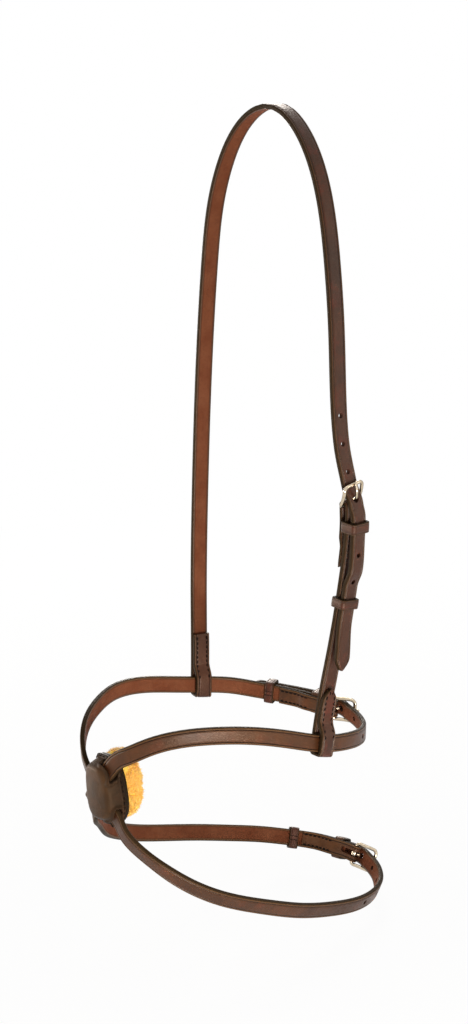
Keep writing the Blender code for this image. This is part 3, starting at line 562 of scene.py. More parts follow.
def patch_point(a, z, r):
    """Place at an arc and a height from the patch's middle, at a radius of its cylinder."""
    angle = a / RIM_R
    return (PATCH_AXIS_X - r * math.cos(angle), r * math.sin(angle), PATCH_Z + z)


def on_patch(places, r):
    return [patch_point(a, z, r) for a, z in places]


def bridge(first, middle, second):
    """Line from the end of one line over the patch to the start of another."""
    lead = [first.at(first.length - d)[0] for d in BRIDGE_LEAD]
    tail = [second.at(d)[0] for d in reversed(BRIDGE_LEAD)]
    route = Line(lead + middle + tail, nose_side)
    return route, route.near(lead[2]), route.near(tail[2])


def oval(angle, half_w, half_h, power):
    c, s = np.cos(angle), np.sin(angle)
    return (half_w * np.copysign(np.abs(c) ** (2 / power), c),
            half_h * np.copysign(np.abs(s) ** (2 / power), s))


# Materials

def srgb(r, g, b):
    made = []
    for c in (r, g, b):
        c /= 255
        made.append(c / 12.92 if c <= 0.04045 else ((c + 0.055) / 1.055) ** 2.4)
    return (*made, 1.0)


class Nodes:
    """Shader nodes of a material or world, and short ways to add them."""

    def __init__(self, owner):
        owner.use_nodes = True
        self.owner = owner
        self.nodes = owner.node_tree.nodes
        self.shader = self.nodes.get("Principled BSDF")

    def set(self, node, inputs):
        """Link each input whose value is a socket, and set the others."""
        for key, value in inputs.items():
            if isinstance(value, bpy.types.NodeSocket):
                self.owner.node_tree.links.new(value, node.inputs[key])
            else:
                node.inputs[key].default_value = value

    def new(self, kind, inputs=None, **settings):
        node = self.nodes.new("ShaderNode" + kind)
        for key, value in settings.items():
            setattr(node, key, value)
        self.set(node, inputs or {})
        return node

    def math(self, operation, *values, clamp=False):
        return self.new("Math", dict(enumerate(values)), operation=operation,
                        use_clamp=clamp).outputs[0]

    def mix(self, factor, a, b):
        return self.new("Mix", {0: factor, 6: a, 7: b}, data_type="RGBA").outputs[2]

    def place(self):
        return self.new("TexCoord").outputs["Object"]

    def noise(self, scale, detail, rough, distortion=0.0):
        return self.new("TexNoise", {"Vector": self.place(), "Scale": scale, "Detail": detail,
                                     "Roughness": rough, "Distortion": distortion}).outputs["Fac"]

    def pores(self, scale):
        return self.new("TexVoronoi", {"Vector": self.place(), "Scale": scale},
                        feature="DISTANCE_TO_EDGE").outputs["Distance"]

    def range(self, value, low, high, to_low=0.0, to_high=1.0):
        return self.new("MapRange", {"Value": value, "From Min": low, "From Max": high,
                                     "To Min": to_low, "To Max": to_high}).outputs[0]

    def uv(self, name):
        layer = self.new("UVMap", uv_map=name).outputs[0]
        return self.new("SeparateXYZ", {0: layer}).outputs[:2]

    def bump(self, height, distance, **before):
        return self.new("Bump", {"Distance": distance, "Height": height, **before}).outputs[0]


def leather(name, tones, rough=0.36, coat=0.12, shine=0.34, masks=True):
    """Bridle leather: mottled dye, creases with painted shade, margins with a painted highlight,
    olive edges and a warm flesh side.
    """
    m = Nodes(bpy.data.materials.new(name))
    cloud = m.range(m.noise(22.0, 4.0, 0.6, 0.4), 0.36, 0.66)
    streak = m.noise(75.0, 4.0, 0.65)
    fine = m.noise(520.0, 3.0, 0.6)
    colour = m.mix(cloud, tones["dark"], tones["light"])
    colour = m.mix(m.range(streak, 0.52, 0.78, 0.0, 0.55), colour, tones["warm"])
    colour = m.mix(m.range(fine, 0.55, 0.85, 0.0, 0.40), colour, tones["edge"])
    look = {"Specular Tint": (1.0, 0.74, 0.52, 1), "Coat Roughness": 0.30,
            "Coat Tint": (1.0, 0.95, 0.9, 1)}
    if masks:
        edging, back = m.uv("mask")
        groove, across = m.uv("line")
        inner = m.mix(m.range(m.noise(48.0, 4.0, 0.65), 0.32, 0.70),
                      tones["flesh"], tones["flesh_light"])
        inner = m.mix(m.range(fine, 0.48, 0.80, 0.0, 0.35), inner, tones["flesh_edge"])
        away = m.math("ABSOLUTE", across)
        inner = m.mix(m.range(away, 0.60, 0.92), inner, tones["flesh_edge"])
        # Painted highlight: the raised margin between crease and edge is drawn lighter.
        colour = m.mix(m.range(away, 0.72, 0.80, 0.0, 0.70), colour, tones["margin"])
        colour = m.mix(back, colour, inner)
        # On the patch the edge mask also carries painted shade on the cover's wall.
        colour = m.mix(m.range(edging, 0.08, 0.60), colour, tones["edge"])
        # Painted shade: the line mask darkens the creases and the patch cover's slit edges; at
        # mid-edge it marks the seam of the layers.
        colour = m.mix(m.math("MULTIPLY", groove, 0.86), colour, CREASE)
        gloss = m.range(back, 0.0, 1.0, rough, 0.55)
        dull = m.math("MAXIMUM", edging, back)
        look["Specular IOR Level"] = m.range(dull, 0.0, 0.6, shine, 0.05)
        if coat > 0.0:
            look["Coat Weight"] = m.range(dull, 0.0, 0.7, coat, 0.0)
    else:
        gloss = m.range(fine, 0.0, 1.0, rough - 0.03, rough + 0.03)
        look["Specular IOR Level"] = 0.10
    look["Base Color"] = colour
    wear = m.noise(90.0, 4.0, 0.7)
    look["Roughness"] = m.math("ADD", gloss, m.range(wear, 0.3, 0.7, -0.06, 0.08))
    cells = m.bump(m.range(m.pores(1150.0), 0.0, 0.28), 0.00007)
    look["Normal"] = m.bump(m.noise(260.0, 5.0, 0.65), 0.00026, Normal=cells)
    m.set(m.shader, look)
    m.owner.diffuse_color = tones["dark"]
    return m.owner


def metal(name):
    """Worn nickel, with painted shade where it turns away from the view."""
    m = Nodes(bpy.data.materials.new(name))
    stain = m.noise(240.0, 3.0, 0.6)
    colour = m.mix(m.range(stain, 0.35, 0.75), (0.66, 0.56, 0.42, 1), (0.50, 0.40, 0.27, 1))
    slant = m.new("LayerWeight").outputs["Facing"]
    m.set(m.shader, {
        # Painted shade: the colour darkens towards grazing view angles.
        "Base Color": m.mix(m.range(slant, 0.35, 0.85), colour, (0.17, 0.12, 0.08, 1)),
        "Roughness": m.range(m.noise(500.0, 4.0, 0.7), 0.3, 0.7, 0.10, 0.22),
        "Metallic": 1.0,
        "Normal": m.bump(m.noise(900.0, 2.0, 0.5), 0.00001),
    })
    return m.owner


def thread(name, colour):
    """Twisted thread, with painted shade making it half as light in its grooves."""
    m = Nodes(bpy.data.materials.new(name))
    twist = m.noise(2600.0, 2.0, 0.5)
    # Painted shade for the grooves of the twist: half the thread's colour.
    groove = tuple(c * 0.5 for c in colour[:3]) + (1,)
    m.set(m.shader, {
        "Base Color": m.mix(m.range(twist, 0.35, 0.65), colour, groove),
        "Normal": m.bump(twist, 0.0001),
        "Roughness": 0.7,
        "Specular IOR Level": 0.08,
    })
    return m.owner


def fleece_material(name):
    """Golden wool, with painted shade deepening it towards the tufts' roots and on the body between
    them.
    """
    m = Nodes(bpy.data.materials.new(name))
    lumps = m.noise(170.0, 4.0, 0.6)
    colour = m.mix(m.range(lumps, 0.32, 0.66), srgb(252, 188, 52), srgb(255, 220, 100))
    fine = m.noise(1300.0, 3.0, 0.7)
    colour = m.mix(m.range(fine, 0.5, 0.8, 0.0, 0.3), colour, srgb(255, 222, 130))
    height, _ = m.uv("mask")
    m.set(m.shader, {
        # Painted shade: deeper orange towards each tuft's root and on the body.
        "Base Color": m.mix(m.range(height, 0.0, 0.7, 0.20, 0.0), colour, srgb(248, 172, 48)),
        "Normal": m.bump(fine, 0.0001),
        "Roughness": 0.95,
        "Sheen Weight": 0.70,
        "Sheen Roughness": 0.5,
        "Sheen Tint": (1.0, 0.86, 0.55, 1),
        "Subsurface Weight": 0.50,
        "Subsurface Scale": 1.0,
        "Subsurface Radius": (0.003, 0.003, 0.003),
    })
    return m.owner


def dyed(base, **tones):
    """Tones of a leather: those of the base, and some of its own."""
    return {**base, **{key: srgb(*tone) for key, tone in tones.items()}}


# Dark tone painted as shade in creases and round the cover's slits, also used for the seam line at
# mid-edge.
CREASE = srgb(20, 14, 11)
HAVANA = dyed({}, dark=(53, 28, 13), light=(80, 46, 21), warm=(98, 45, 22), edge=(50, 37, 22),
              margin=(102, 71, 42), flesh=(106, 58, 37), flesh_light=(122, 74, 50),
              flesh_edge=(66, 43, 29))
CHESTNUT = dyed(HAVANA, dark=(58, 27, 18), light=(78, 38, 26), warm=(94, 37, 25),
                margin=(86, 52, 36))
COCOA = dyed(HAVANA, dark=(45, 21, 13), light=(67, 34, 19), warm=(98, 35, 23),
             margin=(88, 58, 36))
# The dome's edge tone also serves as painted shade on the cover's wall.
DOME = dyed(HAVANA, dark=(56, 38, 22), light=(98, 68, 41), warm=(94, 56, 31),
            edge=(26, 21, 15), margin=(90, 64, 44))
CUT = dyed(HAVANA, dark=(46, 27, 19), light=(66, 38, 26), warm=(84, 38, 26))
STRAP = leather("strap_leather", HAVANA)
CHEEK = leather("cheek_leather", COCOA)
RED = leather("keeper_leather", CHESTNUT, 0.40, 0.14, 0.30)
PATCH = leather("patch_leather", DOME, 0.40, 0.0, 0.26)
HOLE = leather("cut_leather", CUT, 0.7, masks=False)
STEEL = metal("polished_nickel")
THREAD = thread("brown_thread", srgb(26, 17, 12))
FLEECE = fleece_material("fleece_pile")


# Meshes

def placed(name, data):
    """New object in the scene."""
    obj = bpy.data.objects.new(name, data)
    bpy.context.scene.collection.objects.link(obj)
    return obj


def new_object(name, mesh, materials, body, nodes=()):
    """Piece of the part that rides a body and stands for the nodes it replaces."""
    mesh.name = name
    obj = placed(name, mesh)
    for mat in materials:
        mesh.materials.append(mat)
    mesh.shade_smooth()
    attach(obj, body)
    if nodes:
        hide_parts(*nodes)
    return obj


def mesh_from(verts, faces, uvs=None):
    """Mesh in metres from millimetres, with per-vertex UV layers."""
    mesh = bpy.data.meshes.new("mesh")
    mesh.from_pydata((np.asarray(verts, float) * MM).tolist(), [], faces)
    mesh.update()
    loops = np.zeros(len(mesh.loops), np.int32)
    mesh.loops.foreach_get("vertex_index", loops)
    for label, values in (uvs or {}).items():
        layer = mesh.uv_layers.new(name=label)
        layer.data.foreach_set("uv", np.asarray(values, float)[loops].ravel())
    return mesh


def written(work, mesh=None):
    """Mesh of a bmesh, which is freed."""
    mesh = mesh or bpy.data.meshes.new("mesh")
    work.to_mesh(mesh)
    work.free()
    return mesh


def solid(verts, faces, uvs=None):
    """Closed mesh whose faces are turned outward."""
    mesh = mesh_from(verts, faces, uvs)
    work = bmesh.new()
    work.from_mesh(mesh)
    bmesh.ops.recalc_face_normals(work, faces=work.faces)
    return written(work, mesh)


def ring_faces(count, size, base=0, closed=False, caps=1):
    """Quads between rings of equal size; an open row of rings gets a cap at each end."""
    faces = []
    for i in range(count if closed else count - 1):
        a, b = base + i * size, base + (i + 1) % count * size
        faces += [(a + k, a + (k + 1) % size, b + (k + 1) % size, b + k) for k in range(size)]
    if not closed:
        for ring, way in ((0, caps), (count - 1, -caps)):
            faces.append(tuple(base + ring * size + k for k in range(size)[::way]))
    return faces


def shell_faces(rows, sides, base, first, last):
    """Faces of a closed shell: rows of quads between two poles."""
    faces = []
    end = base + (rows - 1) * sides
    for k in range(sides):
        m = (k + 1) % sides
        faces.append((first, base + k, base + m))
        for a in range(base, end, sides):
            faces.append((a + k, a + sides + k, a + sides + m, a + m))
        faces.append((last, end + m, end + k))
    return faces


def loft(rings, closed=False, uvs=None):
    """Mesh through rings of equal size."""
    return solid([v for ring in rings for v in ring],
                 ring_faces(len(rings), len(rings[0]), closed=closed), uvs)


def rounded(half, low, high, radius, count):
    """Points round a rectangle with rounded corners, each with its outward direction."""
    corners = [(half - radius, high - radius), (radius - half, high - radius),
               (radius - half, low + radius), (half - radius, low + radius)]
    path = []
    for i, (cx, cz) in enumerate(corners):
        for a in np.radians(np.linspace(90 * i, 90 * i + 90, count)):
            c, s = math.cos(a), math.sin(a)
            path.append((cx + radius * c, cz + radius * s, c, s))
    return path


def applied(obj):
    """Replace an object's mesh by its evaluated one, with no modifiers left."""
    bpy.context.view_layer.update()
    graph = bpy.context.evaluated_depsgraph_get()
    mesh = bpy.data.meshes.new_from_object(obj.evaluated_get(graph))
    obj.modifiers.clear()
    old = obj.data
    obj.data = mesh
    bpy.data.meshes.remove(old)
    return mesh


def strap_rows(ribbon):
    """Smoothed rows of a ribbon: place, width direction, normal, width and thickness."""
    kept = [ribbon.rows[0]]
    for row in ribbon.rows[1:]:
        if np.linalg.norm(row[0] - kept[-1][0]) > ROW_GAP:
            kept.append(row)
    p, w, wide, thick = (np.array(values) for values in zip(*kept))
    for _ in range(2):
        w[1:-1] = (w[:-2] + 2 * w[1:-1] + w[2:]) / 4
        thick[1:-1] = (thick[:-2] + 2 * thick[1:-1] + thick[2:]) / 4
    p[1:-1] = (p[:-2] + 6 * p[1:-1] + p[2:]) / 8
    t = unit(np.gradient(p, axis=0))
    w = unit(w - np.sum(w * t, 1)[:, None] * t)
    return p, w, np.cross(t, w), wide, thick


def strap_section(hw, ht, grain, dressed):
    """One ring of a strap: across, up, edge mask, flesh mask, crease mask, place.
    A dressed strap has its grain finish and creases on both faces."""
    re = min(1.25, 0.62 * ht, 0.45 * hw)
    tight = min(1.0, hw / 7.0)
    top = ht - 0.10
    points = []

    def add(x, z, edge, flesh, line):
        points.append((x, z * grain, edge, flesh, line, x / max(hw, 0.1)))

    def quarter(side, up, start, end):
        for a in np.radians(np.linspace(start, end, 4)):
            edge = 1.0 - 0.85 * (math.sin(a) ** 2)
            add(side * (hw - re + re * math.cos(a)), up * (top - re + re * math.sin(a)),
                edge, 0.0, 0.0)

    for side in (1, -1):
        add(side * (hw - 0.10), 0.0, 1.0, 0.0, 0.35)
        quarter(side, side, 0, 90)
        if side > 0 or dressed:
            for inset, drop, line in CREASES:
                add(side * (hw - inset * tight), side * (top - drop * tight), 0.05, 0.0, line)
            for f in (0.45, 0.2, 0.0, -0.2, -0.45):
                add(side * f * hw, side * (top + CROWN * (1 - f * f)), 0.0, 0.0, 0.0)
            for inset, drop, line in reversed(CREASES):
                add(-side * (hw - inset * tight), side * (top - drop * tight), 0.05, 0.0, line)
        else:
            for f in (-0.62, -0.3, 0.0, 0.3, 0.62):
                add(f * hw, -(top + 0.02), 0.0, 1.0, 0.0)
        quarter(-side, side, 90, 0)
    return points[::-1] if grain < 0 else points


def strap_mesh(ribbon, grain, bores, dressed):
    """Smooth strap with rounded edges, a crease inside each edge and dents round its holes."""
    p, w, n, wide, thick = strap_rows(ribbon)
    run = run_along(p)
    verts, along, mask, line = [], [], [], []
    for i in range(len(p)):
        ring = strap_section(wide[i] / 2, thick[i] / 2, grain, dressed)
        for x, z, edge, flesh, crease, place in ring:
            verts.append(p[i] + x * w[i] + z * n[i])
            along.append((run[i] * MM, place))
            mask.append((edge, flesh))
            line.append((crease, place))
    verts = np.array(verts)
    for matrix, radius in bores:
        axis = np.array(matrix.col[2][:3])
        away = verts - np.array(matrix.translation) / MM
        up = away @ axis
        flat = np.linalg.norm(away - up[:, None] * axis, axis=1)
        push = DENT_DEPTH * np.exp(-((flat - radius) / DENT_WIDTH) ** 2)
        verts -= (push * (np.abs(up) < DENT_REACH) * (up > 0))[:, None] * axis
    return solid(verts, ring_faces(len(p), len(ring)), {"along": along, "mask": mask, "line": line})


def cylinder(matrix, radius):
    work = bmesh.new()
    bmesh.ops.create_cone(work, cap_ends=True, segments=BORE_SIDES, radius1=radius * MM,
                          radius2=radius * MM, depth=BORE_DEPTH * MM)
    mesh = written(work)
    mesh.transform(matrix)
    return mesh


def slot_mesh(buckle):
    """Rounded slot through a chape's fold, where the tongue's ring goes round the bar."""
    work = bmesh.new()
    bmesh.ops.create_cube(work, size=1.0)
    bmesh.ops.bevel(work, geom=[e for e in work.edges
                                if abs(e.verts[0].co.z - e.verts[1].co.z) > 0.5],
                    offset=0.2, segments=4, affect="EDGES", profile=0.5)
    mesh = written(work)
    spot = Matrix.Translation(((SLOT_FRONT - SLOT_LENGTH) / 2 * MM, 0, 0))
    scale = Matrix.Diagonal(((SLOT_LENGTH + SLOT_FRONT) * MM, SLOT_W * MM, SLOT_DEPTH * MM, 1))
    mesh.transform(buckle.bar() @ spot @ scale)
    return mesh


def bored(obj, cutters):
    """Cut meshes out of an object; the cut walls take the colour of holes."""
    holders = []
    for mesh in cutters:
        mesh.materials.append(HOLE)
        holders.append(placed("cutter", mesh))
        mod = obj.modifiers.new("cut", "BOOLEAN")
        mod.operation = "DIFFERENCE"
        mod.solver = "EXACT"
        mod.material_mode = "TRANSFER"
        mod.object = holders[-1]
    mesh = applied(obj)
    for cutter in holders:
        bpy.data.objects.remove(cutter)
    mesh.set_sharp_from_angle(angle=SHARP_ANGLE)


def wire(points, radius_at, sides, closed=True, flat=1.0):
    """Round wire along points, with its own frame carried along the path."""
    pts = np.asarray(points, float)
    if closed:
        t = unit(np.roll(pts, -1, 0) - np.roll(pts, 1, 0))
    else:
        t = unit(np.gradient(pts, axis=0))
    up = np.array([0.0, 0.0, 1.0])
    rings = []
    for i, p in enumerate(pts):
        side = unit(np.cross(up, t[i])) if abs(t[i] @ up) < 0.98 else np.array([0, 1.0, 0])
        over = np.cross(t[i], side)
        r = radius_at(i / (len(pts) - 1))
        rings.append([p + r * (math.cos(a) * side + flat * math.sin(a) * over)
                      for a in np.linspace(0, 2 * math.pi, sides, endpoint=False)])
    return loft(rings, closed)


def stitch_row(name, places, body, length=STITCH_LENGTH, radius=STITCH_R):
    """Short thread stitches; places are (point, along, up) in millimetres."""
    verts, faces = [], []
    for point, along, up in places:
        along = unit(along)
        up = unit(np.asarray(up) - (np.asarray(up) @ along) * along)
        side = np.cross(up, along)
        faces += ring_faces(len(STITCH_SHAPE), STITCH_SIDES, len(verts), caps=-1)
        for f, lift, share in STITCH_SHAPE:
            centre = np.asarray(point) + f * length * along + lift * radius * up
            r = radius * share
            for a in np.linspace(0, 2 * math.pi, STITCH_SIDES, endpoint=False):
                verts.append(centre + r * (math.cos(a) * side + math.sin(a) * up))
    new_object(name, solid(verts, faces), [THREAD], body)


def sew(name, body, line, start, end, height, top, half=lambda s: SEAM_HALF):
    """Two rows of stitches along a line, on the outer (1) or inner (-1) face of leather
    whose surface lies at height(s)."""
    count = max(2, int(abs(end - start) / STITCH_PITCH) + 1)
    places = []
    for s in np.linspace(start, end, count):
        for w in (-half(s), half(s)):
            places.append((line.at(s, height(s), w)[0], unit(line.sample(line.t, s))[0],
                           top * unit(line.sample(line.n, s))[0]))
    stitch_row(name, places, body)


# The lines and their buckles

head = Line(HEAD_ROUTE, head_side, outward=-1.0)
near_at, far_at = head.near(NEAR_LOOP), head.near(FAR_LOOP)
through_near = head.at(near_at, NOSE_IN_LOOP)[0]
through_far = head.at(far_at, -NOSE_IN_LOOP)[0]
upper = Line(on_patch(RIM_NEAR_UPPER, RIDE_R) + UPPER_NEAR + [through_near] + UPPER_BACK
             + [through_far] + UPPER_FAR + on_patch(RIM_FAR_UPPER, RIDE_R), nose_side)
lower = Line(on_patch(RIM_NEAR_LOWER, RIDE_R) + LOWER_ROUTE
             + on_patch(RIM_FAR_LOWER, RIDE_R), nose_side)
head_buckle = Buckle("head", "headpiece", head, HEAD_HEEL, 1, HEAD_SLIDER, HEAD_BILLET)
jaw_buckle = Buckle("jaw", "nose_straps", upper, JAW_HEEL, -1, JAW_SLIDER, JAW_BILLET)
chin_buckle = Buckle("chin", "nose_straps", lower, CHIN_HEEL, -1, CHIN_SLIDER, CHIN_BILLET)
buckles = (head_buckle, jaw_buckle, chin_buckle)
loop_edge = STRAP_W / 2 + LOOP_SLACK + LOOP_T / 2 - LOOP_CORNER
near_fold, far_fold = near_at - loop_edge, far_at + loop_edge
near_end, far_end = near_fold + LAP_LENGTH, far_fold - LAP_LENGTH
near_lap = sorted_knots([near_fold, near_fold + LAP_CLEAR, near_fold + LAP_DOWN],
                        [LAP_N, LAP_N, STACK])
far_lap = sorted_knots([far_fold, far_fold - LAP_CLEAR, far_fold - LAP_DOWN],
                       [-LAP_N, -LAP_N, -STACK])
a_bridge = bridge(lower, on_patch(CROSS_OVER, OVER_R), upper)
b_bridge = bridge(upper, on_patch(CROSS_UNDER, UNDER_R), lower)


# Straps

def strap_piece(name, ribbon, grain, look, body, node, bores=(), slots=(), dressed=False):
    """Strap with its billet holes bored and its tongue slots cut."""
    obj = new_object(name, strap_mesh(ribbon, grain, bores, dressed), [look, HOLE], body,
                     [node])
    bored(obj, [cylinder(*bore) for bore in bores] + [slot_mesh(buckle) for buckle in slots])


def nose_strap(name, node, chape_at, crossing, billet_at, places):
    """Chape at one buckle, a run under the patch and the billet for the other buckle."""
    first, second, heel, tip = chape_at.line, billet_at.line, billet_at.heel, billet_at.tip
    ribbon = Ribbon()
    ribbon.run(first, chape_at.chape(ribbon) + JOIN, first.length - BRIDGE_JOIN)
    ribbon.run(*crossing)
    levels = billet_at.billet_levels(NOSE_CURL, NOSE_BOW)
    ribbon.run(second, BRIDGE_JOIN, heel - BILLET_END)
    ribbon.run(second, heel - (BILLET_END - JOIN), tip, levels, width=tip_width(tip, 1))
    strap_piece(name, ribbon, 1, STRAP, "nose_straps", node, billet_at.holes(levels, places),
                [chape_at])


def crown_strap():
    """Billet, run over the poll and loop round the far nose strap."""
    heel, tip = head_buckle.heel, head_buckle.tip
    ribbon = Ribbon()
    levels = head_buckle.billet_levels(HEAD_CURL, HEAD_BOW)
    ribbon.run(head, tip, heel + BILLET_END, levels, width=tip_width(tip, -1))
    apex = head.near((0, 0, HALF_T))
    ribbon.run(head, heel + (BILLET_END + JOIN), apex - POLL_FLAT / 2 - POLL_JOIN)
    for y in np.linspace(-POLL_FLAT / 2, POLL_FLAT / 2, 7):
        ribbon.add([(0, y, HALF_T)], [(1, 0, 0)], STRAP_W, STRAP_T)
    ribbon.run(head, apex + POLL_FLAT / 2 + POLL_JOIN, far_fold - LOOP_JOIN)
    ribbon.run(head, far_fold - LAP_CLEAR, far_fold,
               thick=sorted_knots([far_fold, far_fold - LOOP_SKIVE], [LOOP_T, STRAP_T]))
    ribbon.wrap(head, far_fold, 0.0, -LAP_N, 1, -upper.run_at(through_far))
    skive = sorted_knots([far_fold, far_fold - LOOP_SKIVE, far_end + LAP_FEATHER, far_end],
                         [LOOP_T, STRAP_T, STRAP_T, LAP_END_T])
    ribbon.run(head, far_fold, far_end, far_lap, skive)
    strap_piece("crown_strap_leather", ribbon, -1, CHEEK, "headpiece", "crown_strap",
                head_buckle.holes(levels, (-3, -2, 1, 2, 3)))


def near_cheek_strap():
    """Chape at the head buckle and loop round the near nose strap."""
    ribbon = Ribbon()
    ribbon.run(head, head_buckle.chape(ribbon) - JOIN, near_fold + LOOP_JOIN)
    skive = [near_fold, near_fold + LOOP_SKIVE], [LOOP_T, STRAP_T]
    ribbon.run(head, near_fold + LAP_CLEAR, near_fold, thick=skive)
    ribbon.wrap(head, near_fold, 0.0, LAP_N, -1, upper.run_at(through_near))
    ribbon.run(head, near_fold, near_end, near_lap, skive, tip_width(near_end, 1))
    strap_piece("near_cheek_leather", ribbon, 1, CHEEK, "headpiece", "near_cheek_strap",
                slots=[head_buckle], dressed=True)


crown_strap()
near_cheek_strap()
nose_strap("nose_strap_a_leather", "near_upper_far_lower_strap", chin_buckle, a_bridge,
           jaw_buckle, (-3, -2, -1, 1, 2))
nose_strap("nose_strap_b_leather", "far_upper_near_lower_strap", jaw_buckle, b_bridge,
           chin_buckle, (-4, -3, -2, -1, 1, 2))


# Buckles

def frame_points():
    """Centre line of a buckle's wire, from a corner of its heel; x runs to the toe."""
    half = STRAP_W / 2 + BUCKLE_SIDE + WIRE_R
    flat = []
    for x, side, start, end in ((0, 1, 180, 90), (BUCKLE_LENGTH, 1, 90, 0),
                                (BUCKLE_LENGTH, -1, 0, -90), (0, -1, -90, -180)):
        r = TOE_CORNER_R if x else HEEL_CORNER_R
        cx, cy = x - r if x else r, side * half - side * r
        for a in np.radians(np.linspace(start, end, 9)):
            flat.append((cx + r * math.cos(a), cy + r * math.sin(a)))
    x, y = even_points(np.array(flat + flat[:1]), count=WIRE_STEPS).T
    f = x / BUCKLE_LENGTH
    return np.stack([x, y, (TOE_N - BAR_N) * (f + FRAME_BOW * np.sin(f * math.pi))], 1)


def tongue_mesh():
    """Blade over the billet, and the flat ring that turns on the heel bar."""
    toe_top = TOE_N - BAR_N + WIRE_R + GAP + TONGUE_D / 2
    start = WIRE_R + GAP + RING_WALL / 2
    over = HEEL_BILLET_N - BAR_N + HALF_T + TONGUE_D / 2 - 0.9
    route = [(start * 0.80, 0, start * 0.60), (3.4, 0, 3.2), (4.7, 0, 6.2),
             (6.2, 0, over - 0.9), (8.8, 0, over), (12.4, 0, toe_top + 0.2),
             (15.0, 0, toe_top), (BUCKLE_LENGTH + TONGUE_OVER, 0, toe_top - 0.25)]
    blade = wire(natural_spline(route, 0.7),
                 lambda f: TONGUE_D / 2 * (1 - 0.12 * f) * min(1, (1.02 - f) * 14) ** 0.5,
                 TONGUE_SIDES, closed=False)
    angle = np.linspace(0, 2 * math.pi, 16, endpoint=False)
    section = list(zip(*oval(angle, RING_WALL / 2, RING_W / 2, RING_OVAL)))
    rings = []
    for a in np.linspace(0, 2 * math.pi, 40, endpoint=False):
        rings.append([((start + x) * math.cos(a), y, (start + x) * math.sin(a))
                      for x, y in section])
    work = bmesh.new()
    work.from_mesh(blade)
    work.from_mesh(loft(rings, closed=True))
    return written(work)


for buckle in buckles:
    for kind, node, mesh in (
            ("buckle", "buckle_frame",
             wire(frame_points(), lambda f: WIRE_R, WIRE_SIDES, flat=WIRE_FLAT)),
            ("tongue", "buckle_tongue", tongue_mesh())):
        mesh.transform(buckle.bar())
        new_object(f"{buckle.name}_{kind}_wire", mesh, [STEEL], f"{buckle.name}_{kind}",
                   [f"{buckle.name}_{node}"])


# Keepers

def keeper_band(name, matrix, low, high, width, body, look):
    """Leather band with rounded edges and a crease along each edge."""
    path = rounded(STRAP_W / 2 + KEEPER_PLAY, low, high, KEEPER_CORNER, 7)
    filled = []
    for (y, z, c, s), (y1, z1, _, _) in zip(path, path[1:] + path[:1]):
        steps = max(1, int(math.hypot(y1 - y, z1 - z) / KEEPER_STEP))
        filled += [(y + (y1 - y) * f, z + (z1 - z) * f, c, s) for f in np.arange(steps) / steps]
    hw = width / 2
    left = [(inset - hw, up, edge, crease) for inset, up, edge, crease in KEEPER_EDGE]
    left.append((-hw * 0.3, KEEPER_T + 0.06, 0, 0))
    section = left + [(-x, *rest) for x, *rest in reversed(left)]
    mask = [(edge, 0.0) for _, _, edge, _ in section] * len(filled)
    line = [(crease, x / hw) for x, _, _, crease in section] * len(filled)
    mesh = loft([[(x, y + up * c, z + up * s) for x, up, _, _ in section]
                 for y, z, c, s in filled], True, {"mask": mask, "line": line})
    mesh.transform(matrix)
    new_object(f"{name}_leather", mesh, [look], body, [name])
    turn, origin = np.array(matrix.to_3x3()), np.array(matrix.translation) / MM
    places = []
    for y in (-KEEPER_SEAM, KEEPER_SEAM):
        for x in np.linspace(-hw + 1.8, hw - 1.8, 3):
            point = origin + turn @ np.array([x, y, low - KEEPER_T - 0.05])
            places.append((point, turn @ np.array([1.0, 0, 0]), turn @ np.array([0, 0, -1.0])))
    stitch_row(f"{name}_leather_stitches", places, body, *KEEPER_STITCH)


def keepers(buckle, fixed, sliding):
    """A buckle's fixed and sliding keeper, each in its own leather."""
    low, clear = -(HALF_T + GAP), HALF_T + GAP + KEEPER_PLAY
    name, line, toe = buckle.name, buckle.line, buckle.toe
    keeper_band(f"{name}_fixed_keeper", line.frame(buckle.back(KEEPER_AT), toe), low,
                KEPT_BILLET_N + clear, KEEPER_W, buckle.body, fixed)
    keeper_band(f"{name}_sliding_keeper", line.frame(buckle.slide, toe), low - KEEPER_PLAY,
                SLIDER_BILLET_N + clear, KEEPER_W - 1, f"{name}_keeper", sliding)


keepers(head_buckle, CHEEK, CHEEK)
keepers(jaw_buckle, STRAP, RED)
keepers(chin_buckle, STRAP, RED)


# Stitching

def near_half(s):
    """Half the distance between the near lap's rows, which close in along its tip."""
    if (near_end - s) / TIP_LENGTH < 1:
        return max(0.4, tip_width(near_end, 1)(np.array([s]))[0] / 2 - 2.6)
    return SEAM_HALF


sew("near_lap_stitches", "headpiece", head, near_fold + 14, near_end - NEAR_SEAM_END,
    lambda s: height_at(near_lap)(s) + HALF_T, 1, near_half)
sew("near_lap_back_stitches", "headpiece", head, near_fold + 22, near_end - NEAR_SEAM_END,
    lambda s: -HALF_T, -1, near_half)
sew("far_lap_stitches", "headpiece", head, far_fold - 16, far_end + FAR_SEAM_END,
    lambda s: height_at(far_lap)(s) - HALF_T, -1)
sew("far_lap_outer_stitches", "headpiece", head, far_fold - 24, far_end + FAR_SEAM_END,
    lambda s: HALF_T, 1)
for buckle in buckles:
    level = height_at(buckle.return_levels())
    for kind, height, top in (("chape", lambda s: level(s) - SKIVED_T / 2, -1),
                              ("chape_outer", lambda s: HALF_T, 1)):
        sew(f"{buckle.name}_{kind}_stitches", buckle.body, buckle.line,
            *(buckle.back(d) for d in CHAPE_SEAM), height, top)


# Nose patch

def leaned(a, z):
    """Place on the patch, turned by its lean and raised."""
    c, s = math.cos(PATCH_LEAN), math.sin(PATCH_LEAN)
    return a * c + z * s, PATCH_RISE + z * c - a * s


